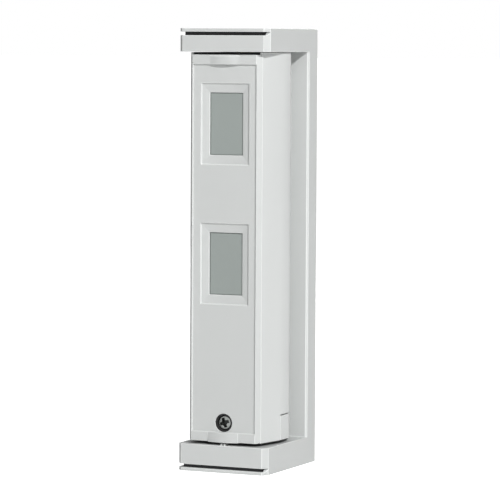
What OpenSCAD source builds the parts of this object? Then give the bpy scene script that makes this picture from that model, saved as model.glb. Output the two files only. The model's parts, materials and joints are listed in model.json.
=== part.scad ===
// Outdoor dual PIR detector: a slim sensor head that turns between the arms of a C-shaped wall bracket.
// Millimetres. +Z is up, the front looks along -Y, the wall is at the back, the origin is under the middle.

/* [Bracket] */
// Width of the bracket across its arms
body_w = 51; // [49:1:60]
// Depth of the bracket from the wall to the front of its arms
body_d = 64; // [62:1:74]
// Height of the bracket
body_h = 229; // [225:1:260]
// Thickness of the top arm
top_arm_h = 12; // [11.5:0.5:16]
// Thickness of the bottom arm
bottom_arm_h = 14.2; // [13.8:0.2:18]
// Depth of the spine that joins the arms
spine_d = 12.3; // [11.5:0.1:16]
// Wall of the bracket moulding
bracket_wall = 2.2; // [1.8:0.1:2.6]
// Front corner chamfer of the arms, across the width
arm_corner_w = 2.5; // [1.5:0.1:3.5]
// Front corner chamfer of the arms, along the depth
arm_corner_d = 3; // [2:0.1:4]
// Chamfer on the spine's front and rear upright edges
spine_edge = 0.8; // [0.4:0.1:1.2]
// Height of the dark groove round the front of each arm
groove_h = 1.8; // [1.2:0.1:2.2]
// Depth of the dark groove, down to its inlay
groove_depth = 2.2; // [1.4:0.1:2.6]
// Lip between the groove and the arm's outer face
lip_h = 1.8; // [1.4:0.1:2.4]

/* [Head] */
// Width of the head between its front corners
head_front_w = 40.4; // [38:0.2:42]
// Room between the head's widest part and the bracket's side, seen from the front
head_side_in = 1.7; // [1.2:0.1:3]
// How far the head's front stands behind the arms' front
head_setback = 2; // [1:0.1:3]
// Gap above the head
head_gap_top = 1.5; // [1.2:0.1:2.5]
// Gap below the head
head_gap_bottom = 1.8; // [1.5:0.1:2.5]
// Share of the sides, from the front corners to the turning axis, that flares
flare_share = 0.78; // [0.65:0.01:0.9]
// Running room between the head's round back and the spine
rear_gap = 0.8; // [0.6:0.1:1.2]
// How far the round back's radius is larger than half of the head's width
rear_bulge = 0.4; // [0.3:0.1:0.8]
// Wall of the head housing
head_wall = 2; // [1.6:0.1:2.4]
// Front corner chamfer of the head, across the width
head_corner_w = 2.1; // [1.5:0.1:2.6]
// Front corner chamfer of the head, along the depth
head_corner_d = 2.5; // [2.2:0.1:3]
// Depth of the recessed panel on the front cover
panel_recess = 1; // [0.7:0.1:1.2]
// Height of the raised band above and below the panel
band_h = 4.9; // [4:0.1:6]
// Parting line between the front cover and the housing
parting = 0.3; // [0.2:0.05:0.4]
// Height of the clip-on cap at the foot of the round back
rear_cap_h = 13.4; // [12:0.1:15]
// Slit over the rear cap
cap_slit = 0.8; // [0.3:0.1:1.2]

/* [Windows] */
// Width of a window at the panel's surface
window_w = 27.2; // [25:0.2:29]
// Height of a window at the panel's surface
window_h = 41.8; // [38:0.2:44]
// Width of the lens that shows
lens_w = 18.6; // [16:0.2:20]
// Height of the lens that shows
lens_h = 32; // [29:0.2:34]
// Depth of the lens below the panel's surface
lens_depth = 2.4; // [2.3:0.1:3]
// Depth of the steep step round the edge of a window
window_step = 0.8; // [0.5:0.1:0.9]
// Thickness of the lens sheet
lens_t = 0.8; // [0.6:0.1:1]
// Height of the upper window's middle, as a share of the head's height
upper_window_share = 0.822; // [0.81:0.001:0.83]
// Height of the lower window's middle, as a share of the head's height
lower_window_share = 0.461; // [0.45:0.001:0.48]

/* [Turning joint] */
// Radius of the hollow pivots
pivot_r = 4.5; // [4:0.1:5]
// Radius of the cable bore through the pivots
pivot_bore_r = 2.6; // [2:0.1:3]
// Running clearance between a pivot and its bush
pivot_play = 0.05; // [0.02:0.01:0.1]
// Number of click notches in a full turn
click_count = 36; // [24:12:72]

/* [Lock screw] */
// Height of the lock screw above the head's foot
lock_rise = 9.8; // [9:0.1:12]
// Radius of the lock screw's head
lock_head_r = 3.8; // [3.5:0.1:4.1]
// Radius of the lock screw's shank
lock_shank_r = 1.95; // [1.7:0.05:2]
// Radius of the counterbore in the cover
lock_bore_r = 4.8; // [4.7:0.1:5]

/* [Wall fixing] */
// Distance between the two wall screw slots
wall_slot_pitch = 140; // [120:5:160]
// Width of a wall screw slot
wall_slot_w = 4.5; // [4:0.5:5]
// Length of a wall screw slot, end to end
wall_slot_l = 9; // [7:0.5:12]
// Radius of the cable's way through the grommet
cable_r = 3; // [2.5:0.1:3.5]

/* [Hidden] */
$fn = 96;

// Overrun of a cut past the face that it opens
over = 1;
// Clearance between pieces that are assembled and don't move on each other
fit = 0.15;
// Clearance between pieces that slide past each other
slide_gap = 0.3;

// Planes of the bracket
front_y = -body_d / 2;
back_y = body_d / 2;
spine_y = back_y - spine_d;
mouth_z0 = bottom_arm_h;
mouth_z1 = body_h - top_arm_h;

// Planes of the head
head_y = front_y + head_setback;
head_z0 = mouth_z0 + head_gap_bottom;
head_z1 = mouth_z1 - head_gap_top;
head_h = head_z1 - head_z0;
head_half = body_w / 2 - head_side_in;
front_half = head_front_w / 2;
corner_y = head_y + head_corner_d;
rear_r = head_half + rear_bulge;
pivot_y = spine_y - rear_gap - rear_r;
flare_d = flare_share * (pivot_y - corner_y);
flare_y = corner_y + flare_d;
panel_y = head_y + panel_recess;
panel_z0 = head_z0 + band_h;
panel_z1 = head_z1 - band_h;
rim_y = corner_y + parting;

// Cover and lens planes
cover_back_y = corner_y;
plate_t = cover_back_y - panel_y;
lens_y = panel_y + lens_depth;
upper_z = head_z0 + upper_window_share * head_h;
lower_z = head_z0 + lower_window_share * head_h;
lock_z = head_z0 + lock_rise;

// Room at the back of the bracket
shell_in = bracket_wall + fit;
plate_thick = 2.5;
plate_y = back_y - plate_thick;

// Plate screws: M3 through the spine's front into bosses on the back plate
plate_screw_r = 1.5;
plate_screw_head_r = 2.8;
plate_screw_head_h = 1.6;
plate_screw_sink = 1.7;
plate_screw_pitch = 96;
plate_boss_r = 3.6;
plate_screw_bite = 7;
plate_screw_z = [body_h / 2 - plate_screw_pitch / 2, body_h / 2 + plate_screw_pitch / 2];

// Cable entry
grommet_r = 6;
grommet_flange_r = 7.6;
grommet_flange_t = 1.2;
cable_z = body_h / 2;

// Pivots, bushes and clips
bush_r = 6.5;
bush_flange_r = 8.5;
bush_flange_t = 0.7;
clip_t = 0.8;
clip_r = 6.6;
clip_groove = 0.7;
clip_mouth_share = 0.8;
clip_gap = 0.1;
pivot_flange_r = 6.5;
pivot_flange_t = 1.6;
pivot_tail = 0.9;
thrust_gap = 0.1;
thrust_r = 9.5;

// Click ring under the bottom arm's upper wall
ring_in = 9;
ring_out = 11.6;
ring_t = 1.9;
ring_room = 0.8;
arm_hollow_y = pivot_y - ring_out - ring_room;
notch_w = 1;
notch_d = 0.5;
spring_t = 0.4;
spring_dome_r = 0.9;
spring_arm_w = 5;
dome_gap = 0.12;

// Angle marks on the bottom arm
mark_w = 0.9;
mark_h = 0.9;
mark_l = 3.4;
mark_pitch = 1.85;
mark_count = 2;

// Pointer bulge on each band of the cover
bulge_w = 17;
bulge_rise = 1.3;
bulge_drop = 0.3;
bulge_slant = 0.6;
bulge_r = (pow(bulge_w / 2, 2) + pow(bulge_rise, 2)) / (2 * bulge_rise);

// Front view corners of the cover
tip_w = 1;
tip_h = 1.5;

// Draft of the cover's steep walls, and the low wall round each lens
wall_draft = 0.15;
lens_lip = 0.75;

// Cover skirt, tongues and pads
skirt_t = 1.4;
skirt_l = 4.4;
skirt_room = 0.6;
cut_over = 2 * over;
tongue_w = 7;
tongue_t = 1.6;
tongue_l = 7;
tongue_x = 10;
pad_over = 1;
stake_r = 0.8;
stake_play = 0.05;

// Lens holder
lens_edge = 1.6;
holder_edge = 2.2;
holder_t = 1.6;
stake_in = 1;

// Board and what stands on it
board_side_gap = 3.8;
board_w = 2 * (head_half - head_wall - board_side_gap);
board_t = 1.6;
board_back = 5.3;
board_y = pivot_y + board_back;
board_foot = 20;
board_head = 9.5;
board_z0 = head_z0 + board_foot;
board_z1 = head_z1 - board_head;
board_post_r = 3;
board_screw_r = 1.1;
board_screw_l = 8;
board_screw_head_r = 2.1;
board_screw_head_h = 1.4;
board_screw_in = 3.4;
board_cross_share = 1.3;
board_cross_turns = [45, 135];
drive_w_share = 1 / 3;
board_screw_x = board_w / 2 - board_screw_in;
board_screw_z = [board_z0 + board_screw_in, board_z1 - board_screw_in];

can_r = 4.1;
can_h = 4.2;
can_flange_r = 4.6;
can_flange_t = 0.5;
filter_w = 4.6;
filter_t = 0.4;

chamber_wall = 1.2;
chamber_w = lens_w + 2 * lens_edge + 2 * chamber_wall;
chamber_h = lens_h + 2 * lens_edge + 2 * chamber_wall;
chamber_gap = 0.8;
chamber_y = lens_y + lens_t + holder_t + chamber_gap;

shutter_t = 1;
shutter_h = 15;
shutter_tab_w = 5;
shutter_tab_h = 1.6;
shutter_tab_l = 1;
shutter_in = 1.2;
shutter_slot_share = 0.9;
shutter_slot_n = 3;
shutter_slot_h = 2;

terminal_pitch = 5;
terminal_end = 0.75;
terminal_edge = 2.2;
terminal_n = floor((board_w - 2 * terminal_edge) / terminal_pitch);
terminal_w = terminal_n * terminal_pitch + 2 * terminal_end;
terminal_h = 8;
terminal_d = 9;
terminal_wire_r = 1.3;
terminal_wire_share = 0.7;
terminal_wire_in_share = 1 / 3;
terminal_screw_r = 1.6;
terminal_screw_h = 1.2;
row_gap = 0.5;
part_edge = 2;
terminal_z = board_screw_z[0] + board_screw_head_r + row_gap + terminal_h / 2;
terminal_top = terminal_z + terminal_h / 2;

tamper_w = 7;
tamper_edge = 3.5;
tamper_x = board_w / 2 - tamper_w / 2 - tamper_edge;
tamper_z = (upper_z + lower_z) / 2;
tamper_h = 9;
tamper_d = 9;
tamper_stem_r = 1.6;
tamper_bore_d = 6;
tamper_collar_r = 2.6;
tamper_post_r = 2.2;
tamper_post_l = 4;
tamper_overtravel = 1.2;

row_foot_share = 0.25;
row_head_share = 0.68;
row_free = lower_z - chamber_h / 2 - terminal_top;
dip_w = 6.5;
dip_x = board_w / 2 - dip_w / 2 - part_edge;
dip_z = terminal_top + row_head_share * row_free;
dip_d = 3.6;
dip_pitch = 2.54;
dip_n = 4;
dip_end = 1.2;
dip_slot_w = 3.4;
dip_slot_h = 1.3;
dip_slot_d = 1.6;
dip_knob_w = 1.5;
dip_knob_h = 0.9;
dip_knob_d = 2;

relay_w = 15;
relay_h = 10;
relay_d = 8;
relay_x = -board_w / 2 + relay_w / 2 + part_edge;
relay_z = dip_z;

chip_w = 10;
chip_t = 1.4;
chip_leg_l = 1;
chip_x = -board_w / 2 + chip_w / 2 + chip_leg_l + part_edge;
chip_z = tamper_z;
chip_leg_w = 0.5;
chip_leg_t = 0.4;
chip_leg_n = 8;
chip_leg_pitch = 1.1;

cap_r = 3.2;
cap_h = 8;
cap_foot_h = 0.6;
cap_foot_r = 3.5;
cap_pitch = 10;
cap_x = [-cap_pitch / 2, cap_pitch / 2];
cap_z = terminal_top + row_foot_share * row_free;

led_r = 1.5;
led_h = 3.2;
led_foot_r = 1.9;
led_foot_h = 0.8;
led_x = 0;
led_drop = 8;
led_z = tamper_z - led_drop;

// Lock screw and its post
lock_head_in = 0.6;
lock_head_h = 2.6;
lock_washer_t = 1.7;
lock_washer_in = 0.1;
lock_cup_play = 0.15;
lock_cup_in = 0.25;
lock_floor_t = 2;
lock_floor_y = panel_y + lock_head_in + lock_head_h + lock_washer_t;
lock_insert_r = 2.9;
lock_insert_l = 4.4;
lock_insert_flange = 0.6;
lock_clip_t = 0.8;
lock_clip_out = 1.2;
lock_clip_room = 0.1;
lock_pitch = 0.7;
lock_turns = 6;
lock_clip_gap = lock_turns * lock_pitch + lock_clip_room;
lock_post_w = 11;
lock_post_y = lock_floor_y + lock_floor_t + lock_clip_gap + lock_clip_t + slide_gap;
lock_post_back = 0.8;
lock_web_t = 2;
lock_play = 0.05;
lock_cross_l = 4.4;
lock_cross_w = 1.1;
lock_cross_d = 1.7;
lock_cross_turn = 20;
lock_dome = 0.9;
lock_tip_in = 0.4;

// Housing seal
seal_w = 1;
seal_d = 1.2;

// Foam seals on the head's top and foot
gap_seal_in = 0.6;
top_rim_w = 1.6;
top_rim_h = head_gap_top - slide_gap;

// Width of the head's flared side at a depth y
function side_half(y) = y < corner_y ? front_half
    : y > flare_y ? head_half
    : front_half + (head_half - front_half) * (y - corner_y) / flare_d;

// Plan view of the bracket's arms, inset by a distance
module arm_plan(inset = 0) {
    half = body_w / 2 - inset;
    polygon([
        [-half, back_y - spine_edge],
        [-half, front_y + arm_corner_d + inset / 2],
        [-half + arm_corner_w - inset / 2, front_y + inset],
        [half - arm_corner_w + inset / 2, front_y + inset],
        [half, front_y + arm_corner_d + inset / 2],
        [half, back_y - spine_edge],
        [half - spine_edge, back_y],
        [-half + spine_edge, back_y]
    ]);
}

// Plan view of the head behind a depth y0, inset by a distance
module head_plan(inset = 0, y0 = rim_y) {
    half = head_half - inset;
    polygon([
        [-half, pivot_y],
        [-half, flare_y],
        [-side_half(y0) + inset, y0],
        [side_half(y0) - inset, y0],
        [half, flare_y],
        [half, pivot_y]
    ]);
    intersection() {
        translate([0, pivot_y]) circle(r = rear_r - inset);
        translate([-half, flare_y]) square([2 * half, back_y - flare_y]);
    }
}

module tube(r_out, r_in, h) {
    difference() {
        cylinder(r = r_out, h = h);
        translate([0, 0, -over]) cylinder(r = r_in, h = h + 2 * over);
    }
}

// A cylinder that runs from a point back along +Y
module along_y(r, l) {
    rotate([-90, 0, 0]) cylinder(r = r, h = l);
}

// A box given by its middle in X and Z, its front in Y and its size
module block(x, y, z, w, d, h) {
    translate([x - w / 2, y, z - h / 2]) cube([w, d, h]);
}

// Groove space of one arm: its ends slant, and the left end runs further back than the right
groove_end_top = 3.6;
groove_end_foot = 1.4;
strip_t = 0.8;
groove_end_share = 0.53;
groove_back = groove_depth + strip_t;
groove_end_left = groove_back + groove_end_share * (arm_hollow_y - front_y - groove_back);
module groove_space(z, inset_from, inset_to) {
    intersection() {
        translate([0, 0, z]) linear_extrude(height = groove_h) difference() {
            arm_plan(inset_from);
            arm_plan(inset_to);
        }
        union() {
            rotate([90, 0, 90]) linear_extrude(height = body_w / 2 + over) polygon([
                [front_y - over, z - over],
                [front_y + groove_end_foot, z],
                [front_y + groove_end_top, z + groove_h],
                [front_y - over, z + groove_h + over]
            ]);
            translate([-body_w / 2 - over, front_y - over, z - over])
                cube([body_w + over - arm_corner_w, groove_end_left + over, groove_h + 2 * over]);
        }
    }
}

module both_grooves(inset_from, inset_to) {
    groove_space(lip_h, inset_from, inset_to);
    groove_space(body_h - lip_h - groove_h, inset_from, inset_to);
}

// Hollow of one arm, from the front of the click ring's room back into the spine
module arm_hollow(z, arm_h) {
    translate([-body_w / 2 + bracket_wall, arm_hollow_y, z])
        cube([body_w - 2 * bracket_wall, spine_y + 2 * bracket_wall - arm_hollow_y,
            arm_h - 2 * bracket_wall]);
}

module bracket_shell() {
    color([0.86, 0.87, 0.86]) difference() {
        linear_extrude(height = body_h) arm_plan();
        // mouth of the C
        translate([-body_w / 2 - over, front_y - over, mouth_z0])
            cube([body_w + 2 * over, body_d - spine_d + over, mouth_z1 - mouth_z0]);
        // chamfers on the spine's front edges
        for (side = [-1, 1]) translate([side * body_w / 2, spine_y, mouth_z0])
            linear_extrude(height = mouth_z1 - mouth_z0) polygon([
                [-side * spine_edge, -over],
                [-side * spine_edge, 0],
                [0, spine_edge],
                [side * over, spine_edge],
                [side * over, -over]
            ]);
        both_grooves(-over, groove_back);
        // hollow of the spine, open to the back
        translate([-body_w / 2 + bracket_wall, spine_y + bracket_wall, bracket_wall])
            cube([body_w - 2 * bracket_wall, spine_d, body_h - 2 * bracket_wall]);
        // hollows of the arms, open to the spine
        arm_hollow(bracket_wall, bottom_arm_h);
        arm_hollow(mouth_z1 + bracket_wall, top_arm_h);
        // seats of the two bushes
        translate([0, pivot_y, mouth_z1 - over]) cylinder(r = bush_r, h = bracket_wall + 2 * over);
        translate([0, pivot_y, mouth_z0 - bracket_wall - over])
            cylinder(r = bush_r, h = bracket_wall + 2 * over);
        // plate screw holes with sunk heads
        for (z = plate_screw_z) translate([0, spine_y, z]) {
            translate([0, -over, 0]) along_y(plate_screw_r + fit, bracket_wall + plate_screw_sink + 2 * over);
            translate([0, -over, 0]) along_y(plate_screw_head_r + fit, plate_screw_sink + over);
        }
    }
    // seats that carry the sunk screw heads, inside the spine
    color([0.86, 0.87, 0.86]) for (z = plate_screw_z) difference() {
        translate([0, spine_y + bracket_wall, z]) along_y(plate_boss_r, plate_screw_sink);
        translate([0, spine_y, z]) along_y(plate_screw_head_r + fit, plate_screw_sink);
        translate([0, spine_y, z]) along_y(plate_screw_r + fit, spine_d);
    }
    // angle marks on the bottom arm
    color([0.86, 0.87, 0.86]) for (i = [0:mark_count - 1])
        translate([(i - (mark_count - 1) / 2) * mark_pitch - mark_w / 2, front_y + head_setback, mouth_z0])
            cube([mark_w, mark_l, mark_h]);
}

module back_plate() {
    boss_l = plate_y - spine_y - bracket_wall - plate_screw_sink;
    color([0.8, 0.81, 0.8]) difference() {
        union() {
            translate([-body_w / 2 + shell_in, plate_y, shell_in])
                cube([body_w - 2 * shell_in, plate_thick, body_h - 2 * shell_in]);
            for (z = plate_screw_z) translate([0, plate_y - boss_l + fit, z])
                along_y(plate_boss_r, boss_l);
        }
        for (z = plate_screw_z) translate([0, plate_y - boss_l, z])
            along_y(plate_screw_r + pivot_play, plate_screw_bite + fit);
        for (side = [-1, 1]) wall_slot(body_h / 2 + side * wall_slot_pitch / 2);
        translate([0, plate_y - over, cable_z]) along_y(grommet_r, plate_thick + 2 * over);
    }
}

module wall_slot(z) {
    reach = (wall_slot_l - wall_slot_w) / 2;
    for (side = [-1, 1]) translate([0, plate_y - over, z + side * reach])
        along_y(wall_slot_w / 2, plate_thick + 2 * over);
    translate([-wall_slot_w / 2, plate_y - over, z - reach])
        cube([wall_slot_w, plate_thick + 2 * over, 2 * reach]);
}

module plate_screws() {
    head_seat = spine_y + plate_screw_sink;
    color("silver") for (z = plate_screw_z) difference() {
        translate([0, head_seat, z]) union() {
            along_y(plate_screw_r, plate_y - spine_y - plate_screw_sink);
            translate([0, -plate_screw_head_h, 0]) along_y(plate_screw_head_r, plate_screw_head_h);
        }
        for (turn = [0, 90]) translate([0, head_seat - plate_screw_head_h - over, z]) rotate([0, turn, 0])
            block(0, 0, 0, plate_screw_head_r, over + plate_screw_head_h / 2,
                drive_w_share * plate_screw_head_h);
    }
}

module cable_grommet() {
    color([0.12, 0.12, 0.12]) translate([0, plate_y - grommet_flange_t, cable_z]) difference() {
        union() {
            along_y(grommet_flange_r, grommet_flange_t);
            along_y(grommet_r, grommet_flange_t + plate_thick);
        }
        translate([0, -over, 0]) along_y(cable_r, grommet_flange_t + plate_thick + 2 * over);
    }
}

module trim_strip(z) {
    color([0.05, 0.05, 0.05]) groove_space(z, groove_depth, groove_back);
}

module top_trim_strip() {
    trim_strip(body_h - lip_h - groove_h);
}

module bottom_trim_strip() {
    trim_strip(lip_h);
}

// Flanged bush: its flange lies on the inside of the arm's wall
module bush() {
    tube(bush_r, pivot_r + pivot_play, bracket_wall + bush_flange_t);
    translate([0, 0, bracket_wall]) tube(bush_flange_r, pivot_r + pivot_play, bush_flange_t);
}

module top_bush() {
    color("ivory") translate([0, pivot_y, mouth_z1]) bush();
}

module bottom_bush() {
    color("ivory") translate([0, pivot_y, mouth_z0]) mirror([0, 0, 1]) bush();
}

module thrust_washer() {
    color("ivory") translate([0, pivot_y, mouth_z0])
        tube(thrust_r, pivot_r + slide_gap, head_gap_bottom - thrust_gap);
}

module click_ring() {
    z0 = mouth_z0 - bracket_wall - ring_t;
    color([0.75, 0.76, 0.78]) translate([0, pivot_y, z0]) difference() {
        tube(ring_out, ring_in, ring_t);
        for (i = [0:click_count - 1]) rotate([0, 0, i * 360 / click_count])
            translate([ring_in - over, -notch_w / 2, -over])
                cube([ring_out - ring_in + 2 * over, notch_w, notch_d + over]);
    }
}

// Outside of the housing behind the parting line, with the place of the rear cap cut away
cap_wall = 1.6;
module head_housing() {
    floor_t = head_wall;
    color([0.87, 0.88, 0.87]) difference() {
        union() {
            difference() {
                translate([0, 0, head_z0]) linear_extrude(height = head_h) head_plan();
                translate([0, 0, head_z0 + floor_t]) linear_extrude(height = head_h - 2 * floor_t) {
                    head_plan(head_wall);
                    translate([-side_half(rim_y) + head_wall, corner_y - over])
                        square([2 * (side_half(rim_y) - head_wall), over + 2 * parting]);
                }
                cap_space();
            }
            // rim round the top, open at the front, that holds the foam
            translate([0, 0, head_z1 - over]) linear_extrude(height = top_rim_h + over) difference() {
                head_plan();
                head_plan(top_rim_w, rim_y - over);
            }
            // inner wall behind the rear cap, and the ledge that joins it to the outer wall
            cap_backing(0, rear_cap_h + cap_wall, flare_y, cap_wall + fit);
            cap_backing(0, rear_cap_h + cap_wall, flare_y - head_wall, head_wall / 2, flare_y);
            cap_backing(rear_cap_h, cap_wall, flare_y - head_wall, head_wall / 2);
            // block that carries the lock screw's insert, on a web from side to side
            block(0, lock_post_y, lock_z, lock_post_w, lock_insert_l + lock_post_back, lock_post_w);
            intersection() {
                block(0, lock_post_y, lock_z, body_w, lock_web_t, lock_post_w);
                translate([0, 0, head_z0]) linear_extrude(height = head_h) head_plan(head_wall / 2);
            }
            // posts that carry the board
            intersection() {
                for (x = [-board_screw_x, board_screw_x], z = board_screw_z)
                    translate([x, board_y + board_t, z]) along_y(board_post_r, rear_r);
                translate([0, 0, head_z0]) linear_extrude(height = head_h) head_plan(head_wall / 2);
            }
        }
        for (x = [-board_screw_x, board_screw_x], z = board_screw_z)
            translate([x, board_y, z]) along_y(board_screw_r + pivot_play, board_screw_l);
        translate([0, pivot_y, head_z0 - over]) cylinder(r = pivot_r + pivot_play, h = floor_t + 2 * over);
        translate([0, pivot_y, head_z1 - floor_t - over])
            cylinder(r = pivot_r + pivot_play, h = floor_t + 2 * over);
        translate([0, lock_post_y - over, lock_z]) along_y(lock_insert_r + pivot_play, lock_insert_l + over);
        translate([0, lock_post_y - over, lock_z])
            along_y(lock_insert_r + lock_insert_flange + pivot_play, lock_insert_flange + over);
        seal_space(0);
    }
}

// Wall at the foot of the housing, between two depths, from an inset to the back of the inner wall
module cap_backing(z, h, y0, inset, y1 = back_y) {
    translate([0, 0, head_z0 + z]) linear_extrude(height = h) difference() {
        intersection() {
            head_plan(inset);
            translate([-head_half, y0]) square([2 * head_half, y1 - y0]);
        }
        head_plan(cap_wall + fit + head_wall);
    }
}

// Space of the clip-on cap, with its walls' clearance
module cap_space() {
    translate([0, 0, head_z0 - over]) linear_extrude(height = rear_cap_h + over) difference() {
        translate([-head_half - over, flare_y]) square([2 * (head_half + over), back_y - flare_y]);
        head_plan(cap_wall + fit);
    }
}

module lower_rear_cap() {
    color([0.85, 0.86, 0.85]) translate([0, 0, head_z0]) linear_extrude(height = rear_cap_h - cap_slit)
        intersection() {
            difference() {
                head_plan();
                head_plan(cap_wall);
            }
            translate([-head_half, flare_y + parting]) square([2 * head_half, back_y - flare_y]);
        }
}

// Rebate round the mouth of the housing
module seal_space(squeeze) {
    half = side_half(rim_y) - head_wall + seal_w;
    z0 = head_z0 + head_wall - seal_w;
    z1 = head_z1 - head_wall + seal_w;
    translate([-half, rim_y - (squeeze > 0 ? 0 : over), z0])
        cube([2 * half, seal_d + (squeeze > 0 ? 0 : over), z1 - z0]);
}

module housing_seal() {
    half = side_half(rim_y) - head_wall;
    color([0.15, 0.15, 0.16]) difference() {
        seal_space(1);
        translate([-half, rim_y - over, head_z0 + head_wall])
            cube([2 * half, seal_d + 2 * over, head_h - 2 * head_wall]);
    }
}

// Foam on an end of the head that keeps dirt out of the gap beside it
module gap_seal(z, h, hole_r, inset = gap_seal_in) {
    color([0.1, 0.1, 0.1]) difference() {
        translate([0, 0, z]) linear_extrude(height = h) head_plan(inset);
        translate([0, pivot_y, z - over]) cylinder(r = hole_r, h = h + 2 * over);
    }
}

module top_gap_seal() {
    gap_seal(head_z1, top_rim_h, pivot_r + fit, top_rim_w + fit);
}

// The lower one runs over the angle marks
module bottom_gap_seal() {
    h = head_gap_bottom - mark_h - slide_gap;
    gap_seal(head_z0 - h, h, thrust_r + slide_gap);
}

// Hollow pivot with a flange inside the housing and a groove for its clip
module pivot(reach) {
    l = pivot_flange_t + reach;
    groove_z = l - pivot_tail - clip_t;
    rotate_extrude() polygon([
        [pivot_bore_r, 0],
        [pivot_flange_r, 0],
        [pivot_flange_r, pivot_flange_t],
        [pivot_r, pivot_flange_t],
        [pivot_r, groove_z],
        [pivot_r - clip_groove, groove_z],
        [pivot_r - clip_groove, groove_z + clip_t],
        [pivot_r, groove_z + clip_t],
        [pivot_r, l],
        [pivot_bore_r, l]
    ]);
}

// Length of each pivot past its flange
top_reach = head_wall + head_gap_top + bracket_wall + bush_flange_t + clip_gap + clip_t + pivot_tail;
bottom_reach = head_wall + head_gap_bottom + bracket_wall + ring_t + dome_gap + spring_dome_r / 2
    + spring_t + clip_gap + clip_t + pivot_tail;

module top_pivot() {
    color([0.8, 0.68, 0.4]) translate([0, pivot_y, head_z1 - head_wall - pivot_flange_t]) pivot(top_reach);
}

module bottom_pivot() {
    color([0.8, 0.68, 0.4]) translate([0, pivot_y, head_z0 + head_wall + pivot_flange_t])
        mirror([0, 0, 1]) pivot(bottom_reach);
}

// Spring clip with a mouth, snapped into a pivot's groove
module clip() {
    groove_r = pivot_r - clip_groove + pivot_play;
    difference() {
        tube(clip_r, groove_r, clip_t - 2 * pivot_play);
        translate([0, -clip_mouth_share * groove_r, -over])
            cube([clip_r + over, 2 * clip_mouth_share * groove_r, clip_t + 2 * over]);
    }
}

module top_pivot_clip() {
    z = head_z1 - head_wall + top_reach - pivot_tail - clip_t + pivot_play;
    color("gray") translate([0, pivot_y, z]) clip();
}

module bottom_pivot_clip() {
    z = head_z0 + head_wall - bottom_reach + pivot_tail + pivot_play;
    color("gray") translate([0, pivot_y, z]) clip();
}

// Two-armed click spring that turns with the bottom pivot, with a dome at each end
module click_spring() {
    z = head_z0 + head_wall - bottom_reach + pivot_tail + clip_t + clip_gap;
    dome_x = (ring_in + ring_out) / 2;
    color("gainsboro") translate([0, pivot_y, z]) difference() {
        union() {
            cylinder(r = pivot_flange_r, h = spring_t);
            translate([-dome_x - spring_dome_r, -spring_arm_w / 2, 0])
                cube([2 * (dome_x + spring_dome_r), spring_arm_w, spring_t]);
            for (side = [-1, 1]) translate([side * dome_x, 0, spring_t]) scale_dome();
        }
        translate([0, 0, -over]) cylinder(r = pivot_r + pivot_play, h = spring_t + 2 * over);
    }
}

module scale_dome() {
    dome_ball = (pow(spring_dome_r, 2) + pow(spring_dome_r / 2, 2)) / spring_dome_r;
    intersection() {
        translate([0, 0, spring_dome_r / 2 - dome_ball]) sphere(r = dome_ball);
        translate([0, 0, -spring_t / 2]) cylinder(r = 2 * spring_dome_r, h = spring_dome_r + spring_t);
    }
}

module main_board() {
    color([0.1, 0.35, 0.2]) difference() {
        block(0, board_y, (board_z0 + board_z1) / 2, board_w, board_t, board_z1 - board_z0);
        for (x = [-board_screw_x, board_screw_x], z = board_screw_z)
            translate([x, board_y - over, z]) along_y(board_screw_r + fit, board_t + 2 * over);
    }
}

module board_screws() {
    color("silver") for (x = [-board_screw_x, board_screw_x], z = board_screw_z)
        translate([x, board_y, z]) difference() {
            union() {
                along_y(board_screw_r, board_screw_l - board_t);
                translate([0, -board_screw_head_h, 0]) along_y(board_screw_head_r, board_screw_head_h);
            }
            for (turn = board_cross_turns) rotate([0, turn, 0])
                block(0, -board_screw_head_h - over, 0, board_cross_share * board_screw_head_r,
                    over + board_screw_head_h / 2, drive_w_share * board_screw_head_h);
        }
}

// Sensor can on the board, with the pocket for its filter
module sensor(z) {
    color([0.78, 0.78, 0.8]) translate([0, board_y, z]) difference() {
        union() {
            translate([0, -can_h, 0]) along_y(can_r, can_h);
            translate([0, -can_flange_t, 0]) along_y(can_flange_r, can_flange_t);
        }
        block(0, -can_h - over, 0, filter_w, over + filter_t, filter_w);
    }
}

module upper_sensor() {
    sensor(upper_z);
}

module lower_sensor() {
    sensor(lower_z);
}

module sensor_filters() {
    color([0.15, 0.1, 0.12]) for (z = [upper_z, lower_z])
        block(0, board_y - can_h, z, filter_w, filter_t, filter_w);
}

// Light-tight chamber between a lens and its sensor
module chamber(z) {
    color([0.16, 0.16, 0.17]) difference() {
        block(0, chamber_y, z, chamber_w, board_y - chamber_y, chamber_h);
        block(0, chamber_y - over, z, chamber_w - 2 * chamber_wall, board_y - chamber_y - chamber_wall + over,
            chamber_h - 2 * chamber_wall);
        translate([0, board_y - chamber_wall - over, z])
            along_y(can_flange_r + slide_gap, chamber_wall + 2 * over);
    }
}

module upper_chamber() {
    chamber(upper_z);
}

module lower_chamber() {
    chamber(lower_z);
}

// Slotted plate that slides up the lower chamber to choose the range
module range_shutter() {
    w = chamber_w - 2 * chamber_wall - 2 * slide_gap;
    z0 = lower_z - chamber_h / 2 + chamber_wall + slide_gap;
    y = chamber_y + shutter_in;
    pitch = shutter_h / (shutter_slot_n + 1);
    color([0.3, 0.3, 0.32]) difference() {
        union() {
            translate([-w / 2, y, z0]) cube([w, shutter_t, shutter_h]);
            translate([-shutter_tab_w / 2, y - shutter_tab_l, z0 + shutter_h - shutter_tab_h])
                cube([shutter_tab_w, shutter_tab_l, shutter_tab_h]);
        }
        for (i = [0:shutter_slot_n - 1])
            block(0, y - over, z0 + (i + shutter_slot_share) * pitch, w - 2 * shutter_slot_h,
                shutter_t + 2 * over, shutter_slot_h);
    }
}

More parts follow.
